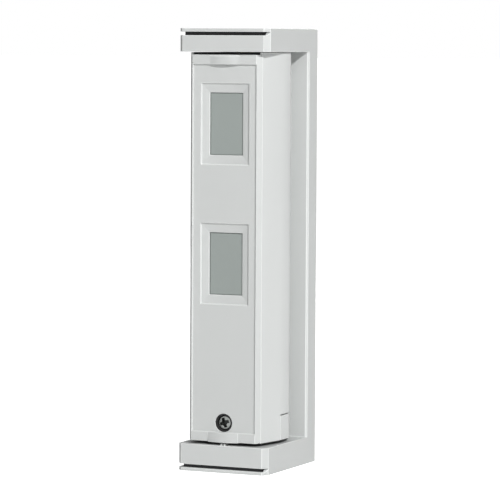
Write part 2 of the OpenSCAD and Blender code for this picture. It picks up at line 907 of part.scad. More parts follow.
module terminal_block() {
    color([0.1, 0.4, 0.25]) difference() {
        block(0, board_y - terminal_d, terminal_z, terminal_w, terminal_d, terminal_h);
        for (i = [0:terminal_n - 1]) translate([terminal_x(i), 0, 0]) {
            translate([0, board_y - terminal_d - over, terminal_z])
                along_y(terminal_screw_r + fit, 2 * terminal_screw_h + over);
            translate([0, board_y - terminal_wire_in_share * terminal_d, terminal_z - terminal_h / 2 - over])
                cylinder(r = terminal_wire_r, h = terminal_h * terminal_wire_share + over);
        }
    }
}

function terminal_x(i) = (i - (terminal_n - 1) / 2) * terminal_pitch;

module terminal_screws() {
    color("silver") for (i = [0:terminal_n - 1])
        translate([terminal_x(i), board_y - terminal_d + terminal_screw_h, terminal_z]) difference() {
            along_y(terminal_screw_r, terminal_screw_h);
            block(0, -over, 0, 2 * terminal_screw_r + over, over + terminal_screw_h / 2,
                drive_w_share * terminal_screw_h);
        }
}

module alarm_relay() {
    color([0.9, 0.9, 0.88]) difference() {
        block(relay_x, board_y - relay_d, relay_z, relay_w, relay_d, relay_h);
        block(relay_x, board_y - relay_d - over, relay_z + relay_h / 2 - chip_t, chip_t,
            over + chip_leg_t, chip_t);
    }
}

module processor_chip() {
    color([0.1, 0.1, 0.1]) {
        block(chip_x, board_y - chip_t, chip_z, chip_w, chip_t, chip_w);
        for (side = [-1, 1], i = [0:chip_leg_n - 1])
            block(chip_x + side * (chip_w + chip_leg_l) / 2, board_y - chip_leg_t,
                chip_z + (i - (chip_leg_n - 1) / 2) * chip_leg_pitch, chip_leg_l, chip_leg_t, chip_leg_w);
    }
}

module capacitors() {
    color([0.15, 0.18, 0.3]) for (x = cap_x) translate([x, board_y, cap_z]) {
        translate([0, -cap_h, 0]) along_y(cap_r, cap_h);
        translate([0, -cap_foot_h, 0]) along_y(cap_foot_r, cap_foot_h);
    }
}

module walk_test_led() {
    color([0.8, 0.2, 0.15]) translate([led_x, board_y, led_z]) {
        translate([0, -led_h, 0]) along_y(led_r, led_h);
        translate([0, -led_foot_h, 0]) along_y(led_foot_r, led_foot_h);
        translate([0, -led_h, 0]) sphere(r = led_r);
    }
}

module tamper_switch() {
    color([0.2, 0.2, 0.22]) difference() {
        block(tamper_x, board_y - tamper_d, tamper_z, tamper_w, tamper_d, tamper_h);
        translate([tamper_x, board_y - tamper_d - over, tamper_z])
            along_y(tamper_stem_r + pivot_play, tamper_bore_d + over);
    }
}

// Tamper plunger: it ends just short of the post on the cover
module tamper_plunger() {
    tip_y = cover_back_y + tamper_post_l + slide_gap;
    tail_y = board_y - tamper_d + tamper_bore_d - tamper_overtravel - slide_gap;
    collar_y = board_y - tamper_d - tamper_overtravel - slide_gap;
    color([0.85, 0.85, 0.83]) translate([tamper_x, tip_y, tamper_z]) {
        along_y(tamper_stem_r, tail_y - tip_y);
        translate([0, collar_y - tip_y - tamper_stem_r, 0]) along_y(tamper_collar_r, tamper_stem_r);
    }
}

dip_h = dip_n * dip_pitch + dip_end;
function dip_z_at(i) = dip_z + (i - (dip_n - 1) / 2) * dip_pitch;

module dip_switch() {
    color([0.1, 0.2, 0.55]) difference() {
        block(dip_x, board_y - dip_d, dip_z, dip_w, dip_d, dip_h);
        for (i = [0:dip_n - 1])
            block(dip_x, board_y - dip_d - over, dip_z_at(i), dip_slot_w, over + dip_slot_d, dip_slot_h);
    }
}

module dip_slider(i) {
    x = dip_x - dip_slot_w / 2 + fit + dip_knob_w / 2;
    y = board_y - dip_d + dip_slot_d - fit - dip_knob_d;
    color("white") block(x, y, dip_z_at(i), dip_knob_w, dip_knob_d, dip_knob_h);
}

module dip_slider_1() {
    dip_slider(3);
}

module dip_slider_2() {
    dip_slider(2);
}

module dip_slider_3() {
    dip_slider(1);
}

module dip_slider_4() {
    dip_slider(0);
}

module lock_insert() {
    color([0.8, 0.65, 0.3]) translate([0, lock_post_y, lock_z]) difference() {
        union() {
            along_y(lock_insert_r, lock_insert_l);
            along_y(lock_insert_r + lock_insert_flange, lock_insert_flange);
        }
        translate([0, -over, 0]) along_y(lock_shank_r + lock_play, lock_insert_l + 2 * over);
    }
}

// Half outlines of a window: across from its middle, and depth from the panel to the lens
function window_side(outer, inner) = [
    [outer + wall_draft, panel_y - over],
    [outer, panel_y],
    [outer - wall_draft, panel_y + window_step],
    [inner + wall_draft, lens_y - lens_lip],
    [inner, lens_y],
    [inner, lens_y + over]
];

// Whole outline of a window's opening
function window_outline(outer, inner) = let (side = window_side(outer, inner)) concat(
    [for (p = side) [-p[0], p[1]]],
    [for (i = [len(side) - 1:-1:0]) side[i]]
);

// Opening of one window, narrowing in steps from the panel to the lens
module window_space(z) {
    intersection() {
        translate([0, 0, z - window_h]) linear_extrude(height = 2 * window_h)
            polygon(window_outline(window_w / 2, lens_w / 2));
        translate([-window_w, 0, z]) rotate([90, 0, 90]) linear_extrude(height = 2 * window_w)
            polygon([for (p = window_outline(window_h / 2, lens_h / 2)) [p[1], p[0]]]);
    }
}

holder_w = lens_w + 2 * lens_edge + 2 * holder_edge;
holder_h = lens_h + 2 * lens_edge + 2 * holder_edge;
stake_x = holder_w / 2 - stake_in;
function stake_z(z) = [z - holder_h / 2 + stake_in, z + holder_h / 2 - stake_in];

module front_cover() {
    skirt_half = side_half(rim_y) - head_wall - skirt_room;
    skirt_z0 = head_z0 + head_wall + skirt_room;
    skirt_h = head_h - 2 * head_wall - 2 * skirt_room;
    color([0.87, 0.88, 0.87]) difference() {
        union() {
            intersection() {
                translate([0, 0, head_z0]) linear_extrude(height = head_h) cover_plan();
                front_view();
            }
            bulges();
            // skirt that goes into the housing
            difference() {
                translate([-skirt_half, corner_y - over, skirt_z0])
                    cube([2 * skirt_half, skirt_l + over, skirt_h]);
                translate([-skirt_half + skirt_t, corner_y - cut_over, skirt_z0 + skirt_t])
                    cube([2 * (skirt_half - skirt_t), skirt_l + 2 * cut_over, skirt_h - 2 * skirt_t]);
            }
            // tongues that go under the housing's top
            for (side = [-1, 1]) translate([side * tongue_x - tongue_w / 2, corner_y - over / 2,
                skirt_z0 + skirt_h - tongue_t])
                cube([tongue_w, tongue_l + over / 2, tongue_t]);
            // pads behind the windows, with stakes for the lens holders
            for (z = [upper_z, lower_z]) {
                block(0, cover_back_y - plate_t / 2, z, holder_w + 2 * pad_over,
                    lens_y - cover_back_y + plate_t / 2, holder_h + 2 * pad_over);
                for (x = [-stake_x, stake_x], sz = stake_z(z))
                    translate([x, lens_y - plate_t / 2, sz])
                        along_y(stake_r, lens_t + holder_t + plate_t / 2);
            }
            // sleeve round the lock screw
            translate([0, cover_back_y - plate_t / 2, lock_z])
                along_y(lock_bore_r + skirt_t, lock_floor_y + lock_floor_t - cover_back_y + plate_t / 2);
            // post that holds the tamper plunger down
            translate([tamper_x, cover_back_y - plate_t / 2, tamper_z])
                along_y(tamper_post_r, tamper_post_l + plate_t / 2);
        }
        panel_space();
        window_space(upper_z);
        window_space(lower_z);
        translate([0, head_y - over, lock_z]) along_y(lock_bore_r, lock_floor_y - head_y + over);
        translate([0, head_y, lock_z]) along_y(lock_shank_r + fit, spine_d);
    }
}

// Plan of the cover: its front, its chamfered corners and its plate
module cover_plan() {
    polygon([
        [-front_half, corner_y],
        [-front_half + head_corner_w, head_y],
        [front_half - head_corner_w, head_y],
        [front_half, corner_y]
    ]);
}

// Front view of the cover, with its clipped corners
module front_view() {
    rotate([90, 0, 0]) translate([0, 0, -corner_y - over]) linear_extrude(height = head_corner_d + 2 * over)
        polygon([
            [-front_half, head_z0 + tip_h],
            [-front_half + tip_w, head_z0],
            [front_half - tip_w, head_z0],
            [front_half, head_z0 + tip_h],
            [front_half, head_z1 - tip_h],
            [front_half - tip_w, head_z1],
            [-front_half + tip_w, head_z1],
            [-front_half, head_z1 - tip_h]
        ]);
}

// Shallow round bulges on the two bands; the upper one has a slanted top, the lower one dips to the marks
module bulges() {
    bulge(panel_z1, band_h, bulge_slant);
    bulge(head_z0 - bulge_drop, band_h + bulge_drop, 0);
}

module bulge(z, h, slant) {
    intersection() {
        translate([0, head_y - bulge_rise + bulge_r, z]) rotate_extrude() polygon([
            [0, 0],
            [bulge_r, 0],
            [bulge_r, h - slant],
            [bulge_r - slant, h],
            [0, h]
        ]);
        translate([-bulge_w / 2, head_y - over - bulge_rise, z])
            cube([bulge_w, corner_y - head_y + bulge_rise + over, h]);
    }
}

// Recessed panel with steep long sides
module panel_space() {
    half = front_half - head_corner_w;
    translate([0, 0, panel_z0]) linear_extrude(height = panel_z1 - panel_z0) polygon([
        [-half, head_y - over],
        [-half, head_y],
        [-half + wall_draft, panel_y],
        [half - wall_draft, panel_y],
        [half, head_y],
        [half, head_y - over]
    ]);
}

module lens(z) {
    color([0.62, 0.65, 0.63]) block(0, lens_y, z, lens_w + 2 * lens_edge, lens_t, lens_h + 2 * lens_edge);
}

module upper_lens() {
    lens(upper_z);
}

module lower_lens() {
    lens(lower_z);
}

// Frame staked over the lens from behind
module lens_holder(z) {
    color([0.2, 0.2, 0.21]) difference() {
        block(0, lens_y, z, holder_w, lens_t + holder_t, holder_h);
        block(0, lens_y - over, z, lens_w + 2 * (lens_edge + fit), lens_t + over,
            lens_h + 2 * (lens_edge + fit));
        block(0, lens_y, z, lens_w + lens_edge, lens_t + holder_t + over, lens_h + lens_edge);
        for (x = [-stake_x, stake_x], sz = stake_z(z)) translate([x, lens_y - over, sz])
            along_y(stake_r + stake_play, lens_t + holder_t + 2 * over);
    }
}

module upper_lens_holder() {
    lens_holder(upper_z);
}

module lower_lens_holder() {
    lens_holder(lower_z);
}

// Pan-head screw with a cross recess
module lock_screw() {
    seat_y = lock_floor_y - lock_washer_t;
    tip_y = lock_post_y + lock_insert_l - lock_tip_in;
    dome_r = (pow(lock_head_r, 2) + pow(lock_dome, 2)) / (2 * lock_dome);
    color([0.72, 0.73, 0.72]) translate([0, seat_y, lock_z]) difference() {
        union() {
            translate([0, -lock_head_h + lock_dome, 0]) along_y(lock_head_r, lock_head_h - lock_dome);
            intersection() {
                translate([0, -lock_head_h + dome_r, 0]) sphere(r = dome_r);
                translate([0, -lock_head_h - over, 0]) along_y(lock_head_r, lock_head_h);
            }
            along_y(lock_shank_r, tip_y - seat_y);
        }
        for (turn = [0, 90]) rotate([0, turn + lock_cross_turn, 0])
            block(0, -lock_head_h - over, 0, lock_cross_l, over + lock_cross_d, lock_cross_w);
    }
}

// Washer that keeps the lock screw in the cover
module lock_screw_clip() {
    color([0.9, 0.9, 0.88]) translate([0, lock_floor_y + lock_floor_t + lock_clip_gap, lock_z]) difference() {
        along_y(lock_shank_r + lock_clip_out, lock_clip_t);
        translate([0, -over, 0]) along_y(lock_shank_r + pivot_play, lock_clip_t + 2 * over);
    }
}

// Cup seal: a floor under the screw's head and a rim round its side
module lock_screw_washer() {
    rim_h = lock_head_in + lock_head_h - lock_cup_in;
    color([0.05, 0.05, 0.05]) translate([0, lock_floor_y - lock_washer_t, lock_z]) difference() {
        translate([0, -rim_h, 0]) along_y(lock_bore_r - lock_washer_in, rim_h + lock_washer_t);
        translate([0, -rim_h - over, 0]) along_y(lock_head_r + lock_cup_play, rim_h + over);
        translate([0, -over, 0]) along_y(lock_shank_r + fit, lock_washer_t + 2 * over);
    }
}

bracket_shell();
back_plate();
plate_screws();
cable_grommet();
top_trim_strip();
bottom_trim_strip();
top_bush();
bottom_bush();
thrust_washer();
click_ring();
head_housing();
lower_rear_cap();
housing_seal();
top_gap_seal();
bottom_gap_seal();
top_pivot();
bottom_pivot();
top_pivot_clip();
bottom_pivot_clip();
click_spring();
main_board();
board_screws();
upper_sensor();
lower_sensor();
sensor_filters();
upper_chamber();
lower_chamber();
range_shutter();
terminal_block();
terminal_screws();
alarm_relay();
processor_chip();
capacitors();
walk_test_led();
tamper_switch();
tamper_plunger();
dip_switch();
dip_slider_1();
dip_slider_2();
dip_slider_3();
dip_slider_4();
lock_insert();
front_cover();
upper_lens();
lower_lens();
upper_lens_holder();
lower_lens_holder();
lock_screw();
lock_screw_clip();
lock_screw_washer();
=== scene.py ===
import bpy
import bmesh
import json
import math
import numpy as np
from mathutils import Matrix, Vector


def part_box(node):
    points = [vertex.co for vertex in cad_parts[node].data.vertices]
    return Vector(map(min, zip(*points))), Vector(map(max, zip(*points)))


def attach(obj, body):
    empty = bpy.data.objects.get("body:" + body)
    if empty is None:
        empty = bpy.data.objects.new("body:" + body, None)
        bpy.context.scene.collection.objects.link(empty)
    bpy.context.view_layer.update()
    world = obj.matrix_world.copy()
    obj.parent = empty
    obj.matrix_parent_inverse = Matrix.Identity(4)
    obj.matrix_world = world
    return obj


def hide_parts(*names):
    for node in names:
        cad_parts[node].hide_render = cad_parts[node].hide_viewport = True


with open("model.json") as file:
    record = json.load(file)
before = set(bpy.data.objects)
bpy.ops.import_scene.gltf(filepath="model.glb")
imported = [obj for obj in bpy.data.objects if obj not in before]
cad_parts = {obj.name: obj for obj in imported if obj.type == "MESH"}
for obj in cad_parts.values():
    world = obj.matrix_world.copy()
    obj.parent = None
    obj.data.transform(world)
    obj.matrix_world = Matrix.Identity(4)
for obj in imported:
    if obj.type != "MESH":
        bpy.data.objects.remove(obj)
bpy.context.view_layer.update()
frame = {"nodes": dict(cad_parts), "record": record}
nodes = frame["nodes"]
mm = 0.001
bodyOf = {n: body for body, members in frame["record"]["behaviour"]["bodies"].items() for n in members}
slotOf = {row["node"]: row["material_slot"] for row in frame["record"]["subparts"]}
print("frame loaded:", len(nodes), "nodes")


# a shader node with its own settings
def addNode(tree, kind, **values):
    node = tree.nodes.new(kind)
    for key, value in values.items():
        setattr(node, key, value)
    return node


# a node group with named inputs and outputs, and the two nodes that hold them
def newGroup(name, inputs, outputs):
    tree = bpy.data.node_groups.new(name, "ShaderNodeTree")
    for label, kind, value in inputs:
        socket = tree.interface.new_socket(name=label, in_out="INPUT", socket_type="NodeSocket" + kind)
        socket.default_value = value
    for label, kind in outputs:
        tree.interface.new_socket(name=label, in_out="OUTPUT", socket_type="NodeSocket" + kind)
    return tree, addNode(tree, "NodeGroupInput"), addNode(tree, "NodeGroupOutput")


# a socket takes a plain number, or a link from another socket
def feed(tree, socket, value):
    if isinstance(value, (int, float)):
        socket.default_value = value
    else:
        tree.links.new(value, socket)


# one step of arithmetic on sockets or numbers
def mathNode(tree, operation, a, b, clamp=False):
    node = addNode(tree, "ShaderNodeMath", operation=operation, use_clamp=clamp)
    feed(tree, node.inputs[0], a)
    feed(tree, node.inputs[1], b)
    return node.outputs[0]


# a noise over the given coordinates
def noiseNode(tree, vector, scale, detail, rough=0.5):
    node = addNode(tree, "ShaderNodeTexNoise")
    node.inputs["Detail"].default_value = detail
    node.inputs["Roughness"].default_value = rough
    feed(tree, node.inputs["Vector"], vector)
    feed(tree, node.inputs["Scale"], scale)
    return node.outputs["Fac"]


# a noise as a change up and down: noise - 0.5
def swing(tree, noise):
    return mathNode(tree, "SUBTRACT", noise, 0.5)


# a colour times a brightness
def scaled(tree, colour, brightness):
    node = addNode(tree, "ShaderNodeVectorMath", operation="SCALE")
    feed(tree, node.inputs[0], colour)
    feed(tree, node.inputs["Scale"], brightness)
    return node.outputs[0]


# moulded finish: a fine spark grain gives the height, a broad noise moves tone and roughness a little,
# and scuffs, where a third noise is over its limit, are brighter and smoother by the wear
moulded = {"broad": 28.0, "broadDetail": 3.0, "fineDetail": 2.0, "fineRough": 0.6, "scuffs": 420.0,
           "scuffDetail": 4.0, "scuffRough": 0.7, "scuffOver": 0.56, "scuffBright": 0.08, "scuffSmooth": 0.12,
           "roughSwing": 0.12}
mouldedGroup, mouldedIn, mouldedOut = newGroup(
    "mouldedFinish",
    [("Tone", "Color", (0.8, 0.8, 0.8, 1)), ("Variation", "Float", 0.03), ("Roughness", "Float", 0.45),
     ("Grain Scale", "Float", 2500.0), ("Grain Depth", "Float", 0.3), ("Wear", "Float", 0.0)],
    [("Color", "Color"), ("Roughness", "Float"), ("Height", "Float")])
coords = addNode(mouldedGroup, "ShaderNodeTexCoord").outputs["Object"]
broad = noiseNode(mouldedGroup, coords, moulded["broad"], moulded["broadDetail"])
fine = noiseNode(mouldedGroup, coords, mouldedIn.outputs["Grain Scale"], moulded["fineDetail"], moulded["fineRough"])
scuffs = noiseNode(mouldedGroup, coords, moulded["scuffs"], moulded["scuffDetail"], moulded["scuffRough"])
scuffMask = mathNode(mouldedGroup, "MULTIPLY", mathNode(mouldedGroup, "GREATER_THAN", scuffs, moulded["scuffOver"]),
                     mouldedIn.outputs["Wear"])
shade = mathNode(mouldedGroup, "MULTIPLY", swing(mouldedGroup, broad), mouldedIn.outputs["Variation"])
bright = mathNode(mouldedGroup, "ADD", mathNode(mouldedGroup, "ADD", shade, 1.0),
                  mathNode(mouldedGroup, "MULTIPLY", scuffMask, moulded["scuffBright"]))
rougher = mathNode(mouldedGroup, "MULTIPLY", swing(mouldedGroup, broad), moulded["roughSwing"])
smoother = mathNode(mouldedGroup, "SUBTRACT", mouldedIn.outputs["Roughness"],
                    mathNode(mouldedGroup, "MULTIPLY", scuffMask, moulded["scuffSmooth"]))
feed(mouldedGroup, mouldedOut.inputs["Color"], scaled(mouldedGroup, mouldedIn.outputs["Tone"], bright))
feed(mouldedGroup, mouldedOut.inputs["Roughness"], mathNode(mouldedGroup, "ADD", rougher, smoother, clamp=True))
feed(mouldedGroup, mouldedOut.inputs["Height"],
     mathNode(mouldedGroup, "MULTIPLY", fine, mouldedIn.outputs["Grain Depth"]))

# worked metal: streaks along one axis move roughness and height, and stains, where their noise is over its limit,
# darken the tone by the tarnish
metal = {"streakDetail": 3.0, "stains": 300.0, "stainDetail": 4.0, "stainRough": 0.6, "stainOver": 0.35}
metalGroup, metalIn, metalOut = newGroup(
    "workedMetal",
    [("Tone", "Color", (0.6, 0.6, 0.6, 1)), ("Roughness", "Float", 0.3), ("Streak Scale", "Vector", (900, 40, 900)),
     ("Streak", "Float", 0.15), ("Tarnish", "Float", 0.2)],
    [("Color", "Color"), ("Roughness", "Float"), ("Height", "Float")])
coords = addNode(metalGroup, "ShaderNodeTexCoord").outputs["Object"]
stretched = addNode(metalGroup, "ShaderNodeVectorMath", operation="MULTIPLY")
metalGroup.links.new(coords, stretched.inputs[0])
metalGroup.links.new(metalIn.outputs["Streak Scale"], stretched.inputs[1])
streaks = noiseNode(metalGroup, stretched.outputs[0], 1.0, metal["streakDetail"])
stains = noiseNode(metalGroup, coords, metal["stains"], metal["stainDetail"], metal["stainRough"])
stained = mathNode(metalGroup, "MULTIPLY", mathNode(metalGroup, "SUBTRACT", stains, metal["stainOver"], clamp=True),
                   metalIn.outputs["Tarnish"])
darker = mathNode(metalGroup, "SUBTRACT", 1.0, stained)
streaked = mathNode(metalGroup, "MULTIPLY", swing(metalGroup, streaks), metalIn.outputs["Streak"])
feed(metalGroup, metalOut.inputs["Color"], scaled(metalGroup, metalIn.outputs["Tone"], darker))
feed(metalGroup, metalOut.inputs["Roughness"],
     mathNode(metalGroup, "ADD", metalIn.outputs["Roughness"], streaked, clamp=True))
feed(metalGroup, metalOut.inputs["Height"], streaks)

bumpReach = 0.05 * mm


# a material: its finish group feeds the shader's colour, roughness and bump, and plain values go on the shader itself
def material(name, group, inputs, bump=0.0, **plain):
    mat = bpy.data.materials.new(name)
    mat.use_nodes = True
    tree = mat.node_tree
    shader = tree.nodes["Principled BSDF"]
    node = addNode(tree, "ShaderNodeGroup", node_tree=group)
    for key, value in inputs.items():
        node.inputs[key].default_value = value
    tree.links.new(node.outputs["Color"], shader.inputs["Base Color"])
    tree.links.new(node.outputs["Roughness"], shader.inputs["Roughness"])
    if bump:
        bumpNode = addNode(tree, "ShaderNodeBump")
        bumpNode.inputs["Strength"].default_value = bump
        bumpNode.inputs["Distance"].default_value = bumpReach
        tree.links.new(node.outputs["Height"], bumpNode.inputs["Height"])
        tree.links.new(bumpNode.outputs["Normal"], shader.inputs["Normal"])
    for key, value in plain.items():
        shader.inputs[key.replace("_", " ")].default_value = value
    mat.diffuse_color = tuple(inputs["Tone"])
    return mat


# screen greys 0..255 to a linear colour: ((v / 255 + 0.055) / 1.055)^2.4, or v / 255 / 12.92 for the darkest
def tone(r, g, b):
    return tuple(((v / 255 + 0.055) / 1.055) ** 2.4 if v > 10 else v / 255 / 12.92 for v in (r, g, b)) + (1.0,)


finishes = {
    "bracketWhite": material("bracketWhite", mouldedGroup, {"Tone": tone(206, 208, 207), "Roughness": 0.42,
                             "Grain Scale": 3200.0, "Grain Depth": 0.5}, bump=0.25),
    "headWhite": material("headWhite", mouldedGroup, {"Tone": tone(205, 207, 206), "Roughness": 0.40,
                          "Grain Scale": 3600.0, "Grain Depth": 0.4}, bump=0.22),
    "housingWhite": material("housingWhite", mouldedGroup, {"Tone": tone(215, 217, 216), "Roughness": 0.42,
                             "Grain Scale": 3600.0, "Grain Depth": 0.4}, bump=0.22),
    # rounded edges: a lighter tone as a painted highlight, with a little real wear
    "edgeHighlightAndWear": material("edgeHighlightAndWear", mouldedGroup, {"Tone": tone(232, 234, 233), "Roughness": 0.3,
                          "Grain Scale": 3600.0, "Grain Depth": 0.2, "Wear": 0.5}, bump=0.1),
    "innerPlastic": material("innerPlastic", mouldedGroup, {"Tone": tone(214, 215, 214), "Roughness": 0.5,
                             "Grain Scale": 2600.0, "Grain Depth": 0.6}, bump=0.3),
    "darkPlastic": material("darkPlastic", mouldedGroup, {"Tone": tone(30, 30, 32), "Roughness": 0.48,
                            "Grain Scale": 3000.0, "Grain Depth": 0.5}, bump=0.3),
    "lensSheet": material("lensSheet", mouldedGroup, {"Tone": tone(153, 160, 157), "Roughness": 0.34,
                          "Grain Scale": 1500.0, "Grain Depth": 0.4, "Variation": 0.05}, bump=0.15,
                          Coat_Weight=0.25, Coat_Roughness=0.12),
    "rubberBlack": material("rubberBlack", mouldedGroup, {"Tone": tone(38, 38, 39), "Roughness": 0.7,
                            "Grain Scale": 1800.0, "Grain Depth": 0.8}, bump=0.5),
    "bearingPlastic": material("bearingPlastic", mouldedGroup, {"Tone": tone(226, 223, 212), "Roughness": 0.38,
                               "Grain Scale": 2400.0, "Grain Depth": 0.3}, bump=0.2),
    "steelPlated": material("steelPlated", metalGroup, {"Tone": tone(196, 198, 196), "Roughness": 0.28}, bump=0.15,
                            Metallic=1.0),
    "lockSteel": material("lockSteel", metalGroup, {"Tone": tone(198, 202, 199), "Roughness": 0.24,
                          "Tarnish": 0.5, "Streak": 0.25}, bump=0.1, Metallic=1.0),
    "recessPaintedShade": material("recessPaintedShade", metalGroup, {"Tone": tone(74, 77, 75), "Roughness": 0.5}, bump=0.1,
                            Metallic=1.0),
    "padTin": material("padTin", metalGroup, {"Tone": tone(206, 204, 196), "Roughness": 0.34}, bump=0.2,
                       Metallic=1.0),
    "trackGreen": material("trackGreen", mouldedGroup, {"Tone": tone(44, 118, 74), "Roughness": 0.3,
                           "Grain Scale": 900.0, "Grain Depth": 0.4, "Variation": 0.12}, bump=0.15,
                           Coat_Weight=0.3, Coat_Roughness=0.15),
    "springSteel": material("springSteel", metalGroup, {"Tone": tone(168, 170, 174), "Roughness": 0.32,
                            "Tarnish": 0.4}, bump=0.1, Metallic=1.0),
    "brassTurned": material("brassTurned", metalGroup, {"Tone": tone(214, 184, 120), "Roughness": 0.26,
                            "Streak Scale": (60, 60, 1800)}, bump=0.15, Metallic=1.0),
    "boardMask": material("boardMask", mouldedGroup, {"Tone": tone(28, 88, 58), "Roughness": 0.32,
                          "Grain Scale": 900.0, "Grain Depth": 0.6, "Variation": 0.12}, bump=0.2,
                          Coat_Weight=0.3, Coat_Roughness=0.15),
    "canSteel": material("canSteel", metalGroup, {"Tone": tone(202, 202, 206), "Roughness": 0.22,
                         "Tarnish": 0.15}, bump=0.08, Metallic=1.0),
    "filterGlass": material("filterGlass", mouldedGroup, {"Tone": tone(34, 26, 30), "Roughness": 0.12,
                            "Grain Scale": 400.0, "Grain Depth": 0.1}, bump=0.05, Coat_Weight=0.6),
    "terminalGreen": material("terminalGreen", mouldedGroup, {"Tone": tone(48, 132, 88), "Roughness": 0.42,
                              "Grain Scale": 2400.0, "Grain Depth": 0.4}, bump=0.25),
    "switchBlue": material("switchBlue", mouldedGroup, {"Tone": tone(36, 66, 150), "Roughness": 0.36,
                           "Grain Scale": 2600.0, "Grain Depth": 0.4}, bump=0.2),
    "relayWhite": material("relayWhite", mouldedGroup, {"Tone": tone(232, 231, 224), "Roughness": 0.36,
                           "Grain Scale": 2600.0, "Grain Depth": 0.3}, bump=0.15),
    "ledRed": material("ledRed", mouldedGroup, {"Tone": tone(196, 40, 34), "Roughness": 0.12,
                       "Grain Scale": 500.0, "Grain Depth": 0.1}, bump=0.05, Coat_Weight=0.5),
}
slotFinish = {
    "bracket_plastic": "bracketWhite", "head_plastic": "headWhite", "inner_plastic": "innerPlastic",
    "dark_plastic": "darkPlastic", "lens_sheet": "lensSheet", "rubber": "rubberBlack",
    "bearing_plastic": "bearingPlastic", "steel": "steelPlated", "spring_steel": "springSteel",
    "brass": "brassTurned", "board": "boardMask", "sensor_can": "canSteel", "filter_glass": "filterGlass",
    "terminal_green": "terminalGreen", "switch_blue": "switchBlue", "relay_white": "relayWhite",
    "led_red": "ledRed",
}
paler = ("head_housing", "lower_rear_cap")  # a little lighter than the cover in front of them
for name, obj in nodes.items():
    obj.data.materials.clear()
    obj.data.materials.append(finishes["housingWhite" if name in paler else slotFinish[slotOf[name]]])
print("finishes made:", len(finishes))

dress = {"merge": 1e-6, "flat": 0.4, "sharp": 25, "normalWeight": 100}  # merge in metres, flat and sharp in degrees


# a copy of a CAD node, merged, its flat faces joined and cut convex, and its sharp edges rounded
def dressed(nodeName, pieceName, width, edgeFinish=None, segments=3):
    source = nodes[nodeName]
    bm = bmesh.new()
    bm.from_mesh(source.data)
    bmesh.ops.remove_doubles(bm, verts=bm.verts, dist=dress["merge"])
    bmesh.ops.dissolve_limit(bm, angle_limit=math.radians(dress["flat"]), verts=bm.verts, edges=bm.edges)
    bmesh.ops.connect_verts_concave(bm, faces=bm.faces)
    for face in bm.faces:
        face.smooth = True
        face.material_index = 0
    mesh = bpy.data.meshes.new(pieceName)
    bm.to_mesh(mesh)
    bm.free()
    piece = bpy.data.objects.new(pieceName, mesh)
    bpy.context.scene.collection.objects.link(piece)
    mesh.materials.append(source.data.materials[0])
    if edgeFinish:
        mesh.materials.append(finishes[edgeFinish])
    if width:
        bevel = piece.modifiers.new("rounded", "BEVEL")
        bevel.width = width * mm
        bevel.segments = segments
        bevel.limit_method = "ANGLE"
        bevel.angle_limit = math.radians(dress["sharp"])
        bevel.use_clamp_overlap = False
        bevel.miter_outer = "MITER_ARC"
        # the rounded edges take the edge finish: a painted highlight with a little wear
        if edgeFinish:
            bevel.material = 1
        weighted = piece.modifiers.new("flatNormals", "WEIGHTED_NORMAL")
        weighted.mode = "FACE_AREA"
        weighted.weight = dress["normalWeight"]
    else:
        mesh.set_sharp_from_angle(angle=math.radians(dress["sharp"]))
    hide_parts(nodeName)
    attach(piece, bodyOf[nodeName])
    return piece


shells = {  # CAD node: new piece, edge rounding in mm, the rounded edges lighter as a painted highlight and a little worn
    "bracket_shell": ("bracketBody", 0.26),
    "front_cover": ("coverBody", 0.16),
    "head_housing": ("housingBody", 0.22),
    "lower_rear_cap": ("rearCapBody", 0.2),
    "back_plate": ("backPlateBody", 0),
}
for nodeName, (pieceName, width) in shells.items():
    dressed(nodeName, pieceName, width, "edgeHighlightAndWear")
innerPieces = {
    "top_trim_strip": ("topTrimInlay", 0.1), "bottom_trim_strip": ("bottomTrimInlay", 0.1),
    # gap seals: dark foam over and under the head, partly a real seal and partly painted shade in the slits
    "top_gap_seal": ("topGapShadeFoam", 0.15), "bottom_gap_seal": ("bottomGapShadeFoam", 0.1),
    "cable_grommet": ("cableGrommetRound", 0.25), "housing_seal": ("housingSealBead", 0.3),
    "top_bush": ("topBushTurned", 0.12), "bottom_bush": ("bottomBushTurned", 0.12),
    "thrust_washer": ("thrustWasherTurned", 0.2), "top_pivot": ("topPivotTurned", 0.15),
    "bottom_pivot": ("bottomPivotTurned", 0.15), "top_pivot_clip": ("topClipPressed", 0.08),
    "bottom_pivot_clip": ("bottomClipPressed", 0.08), "click_ring": ("clickRingCut", 0.06),
    "click_spring": ("clickSpringPressed", 0.05), "upper_chamber": ("upperChamberBox", 0.2),
    "lower_chamber": ("lowerChamberBox", 0.2), "upper_lens_holder": ("upperHolderFrame", 0.2),
    "lower_lens_holder": ("lowerHolderFrame", 0.2), "range_shutter": ("rangeShutterPlate", 0.12),
    "main_board": ("boardBlank", 0.08), "terminal_block": ("terminalHousing", 0.2),
    "dip_switch": ("dipSwitchBody", 0.1), "tamper_switch": ("tamperSwitchCase", 0.15),
    "tamper_plunger": ("tamperPlungerStem", 0.12), "lock_insert": ("lockInsertTurned", 0.12),
    "lock_screw_clip": ("lockClipWasher", 0.12),
}
for nodeName, (pieceName, width) in innerPieces.items():
    dressed(nodeName, pieceName, width, segments=2)
print("pieces dressed:", len(shells) + len(innerPieces))


# shapes are (points, blocks of faces) pairs in mm, worked out as whole arrays;
# a grid's faces join four points each, point (i, j) is number i * cols + j, and a wrapped side meets its own start
def gridFaces(rows, cols, wrapRows=False, wrapCols=False):
    i, j = np.meshgrid(np.arange(rows if wrapRows else rows - 1), np.arange(cols if wrapCols else cols - 1),
                       indexing="ij")
    nextI, nextJ = (i + 1) % rows, (j + 1) % cols
    return np.stack([i * cols + j, i * cols + nextJ, nextI * cols + nextJ, nextI * cols + j], -1).reshape(-1, 4)


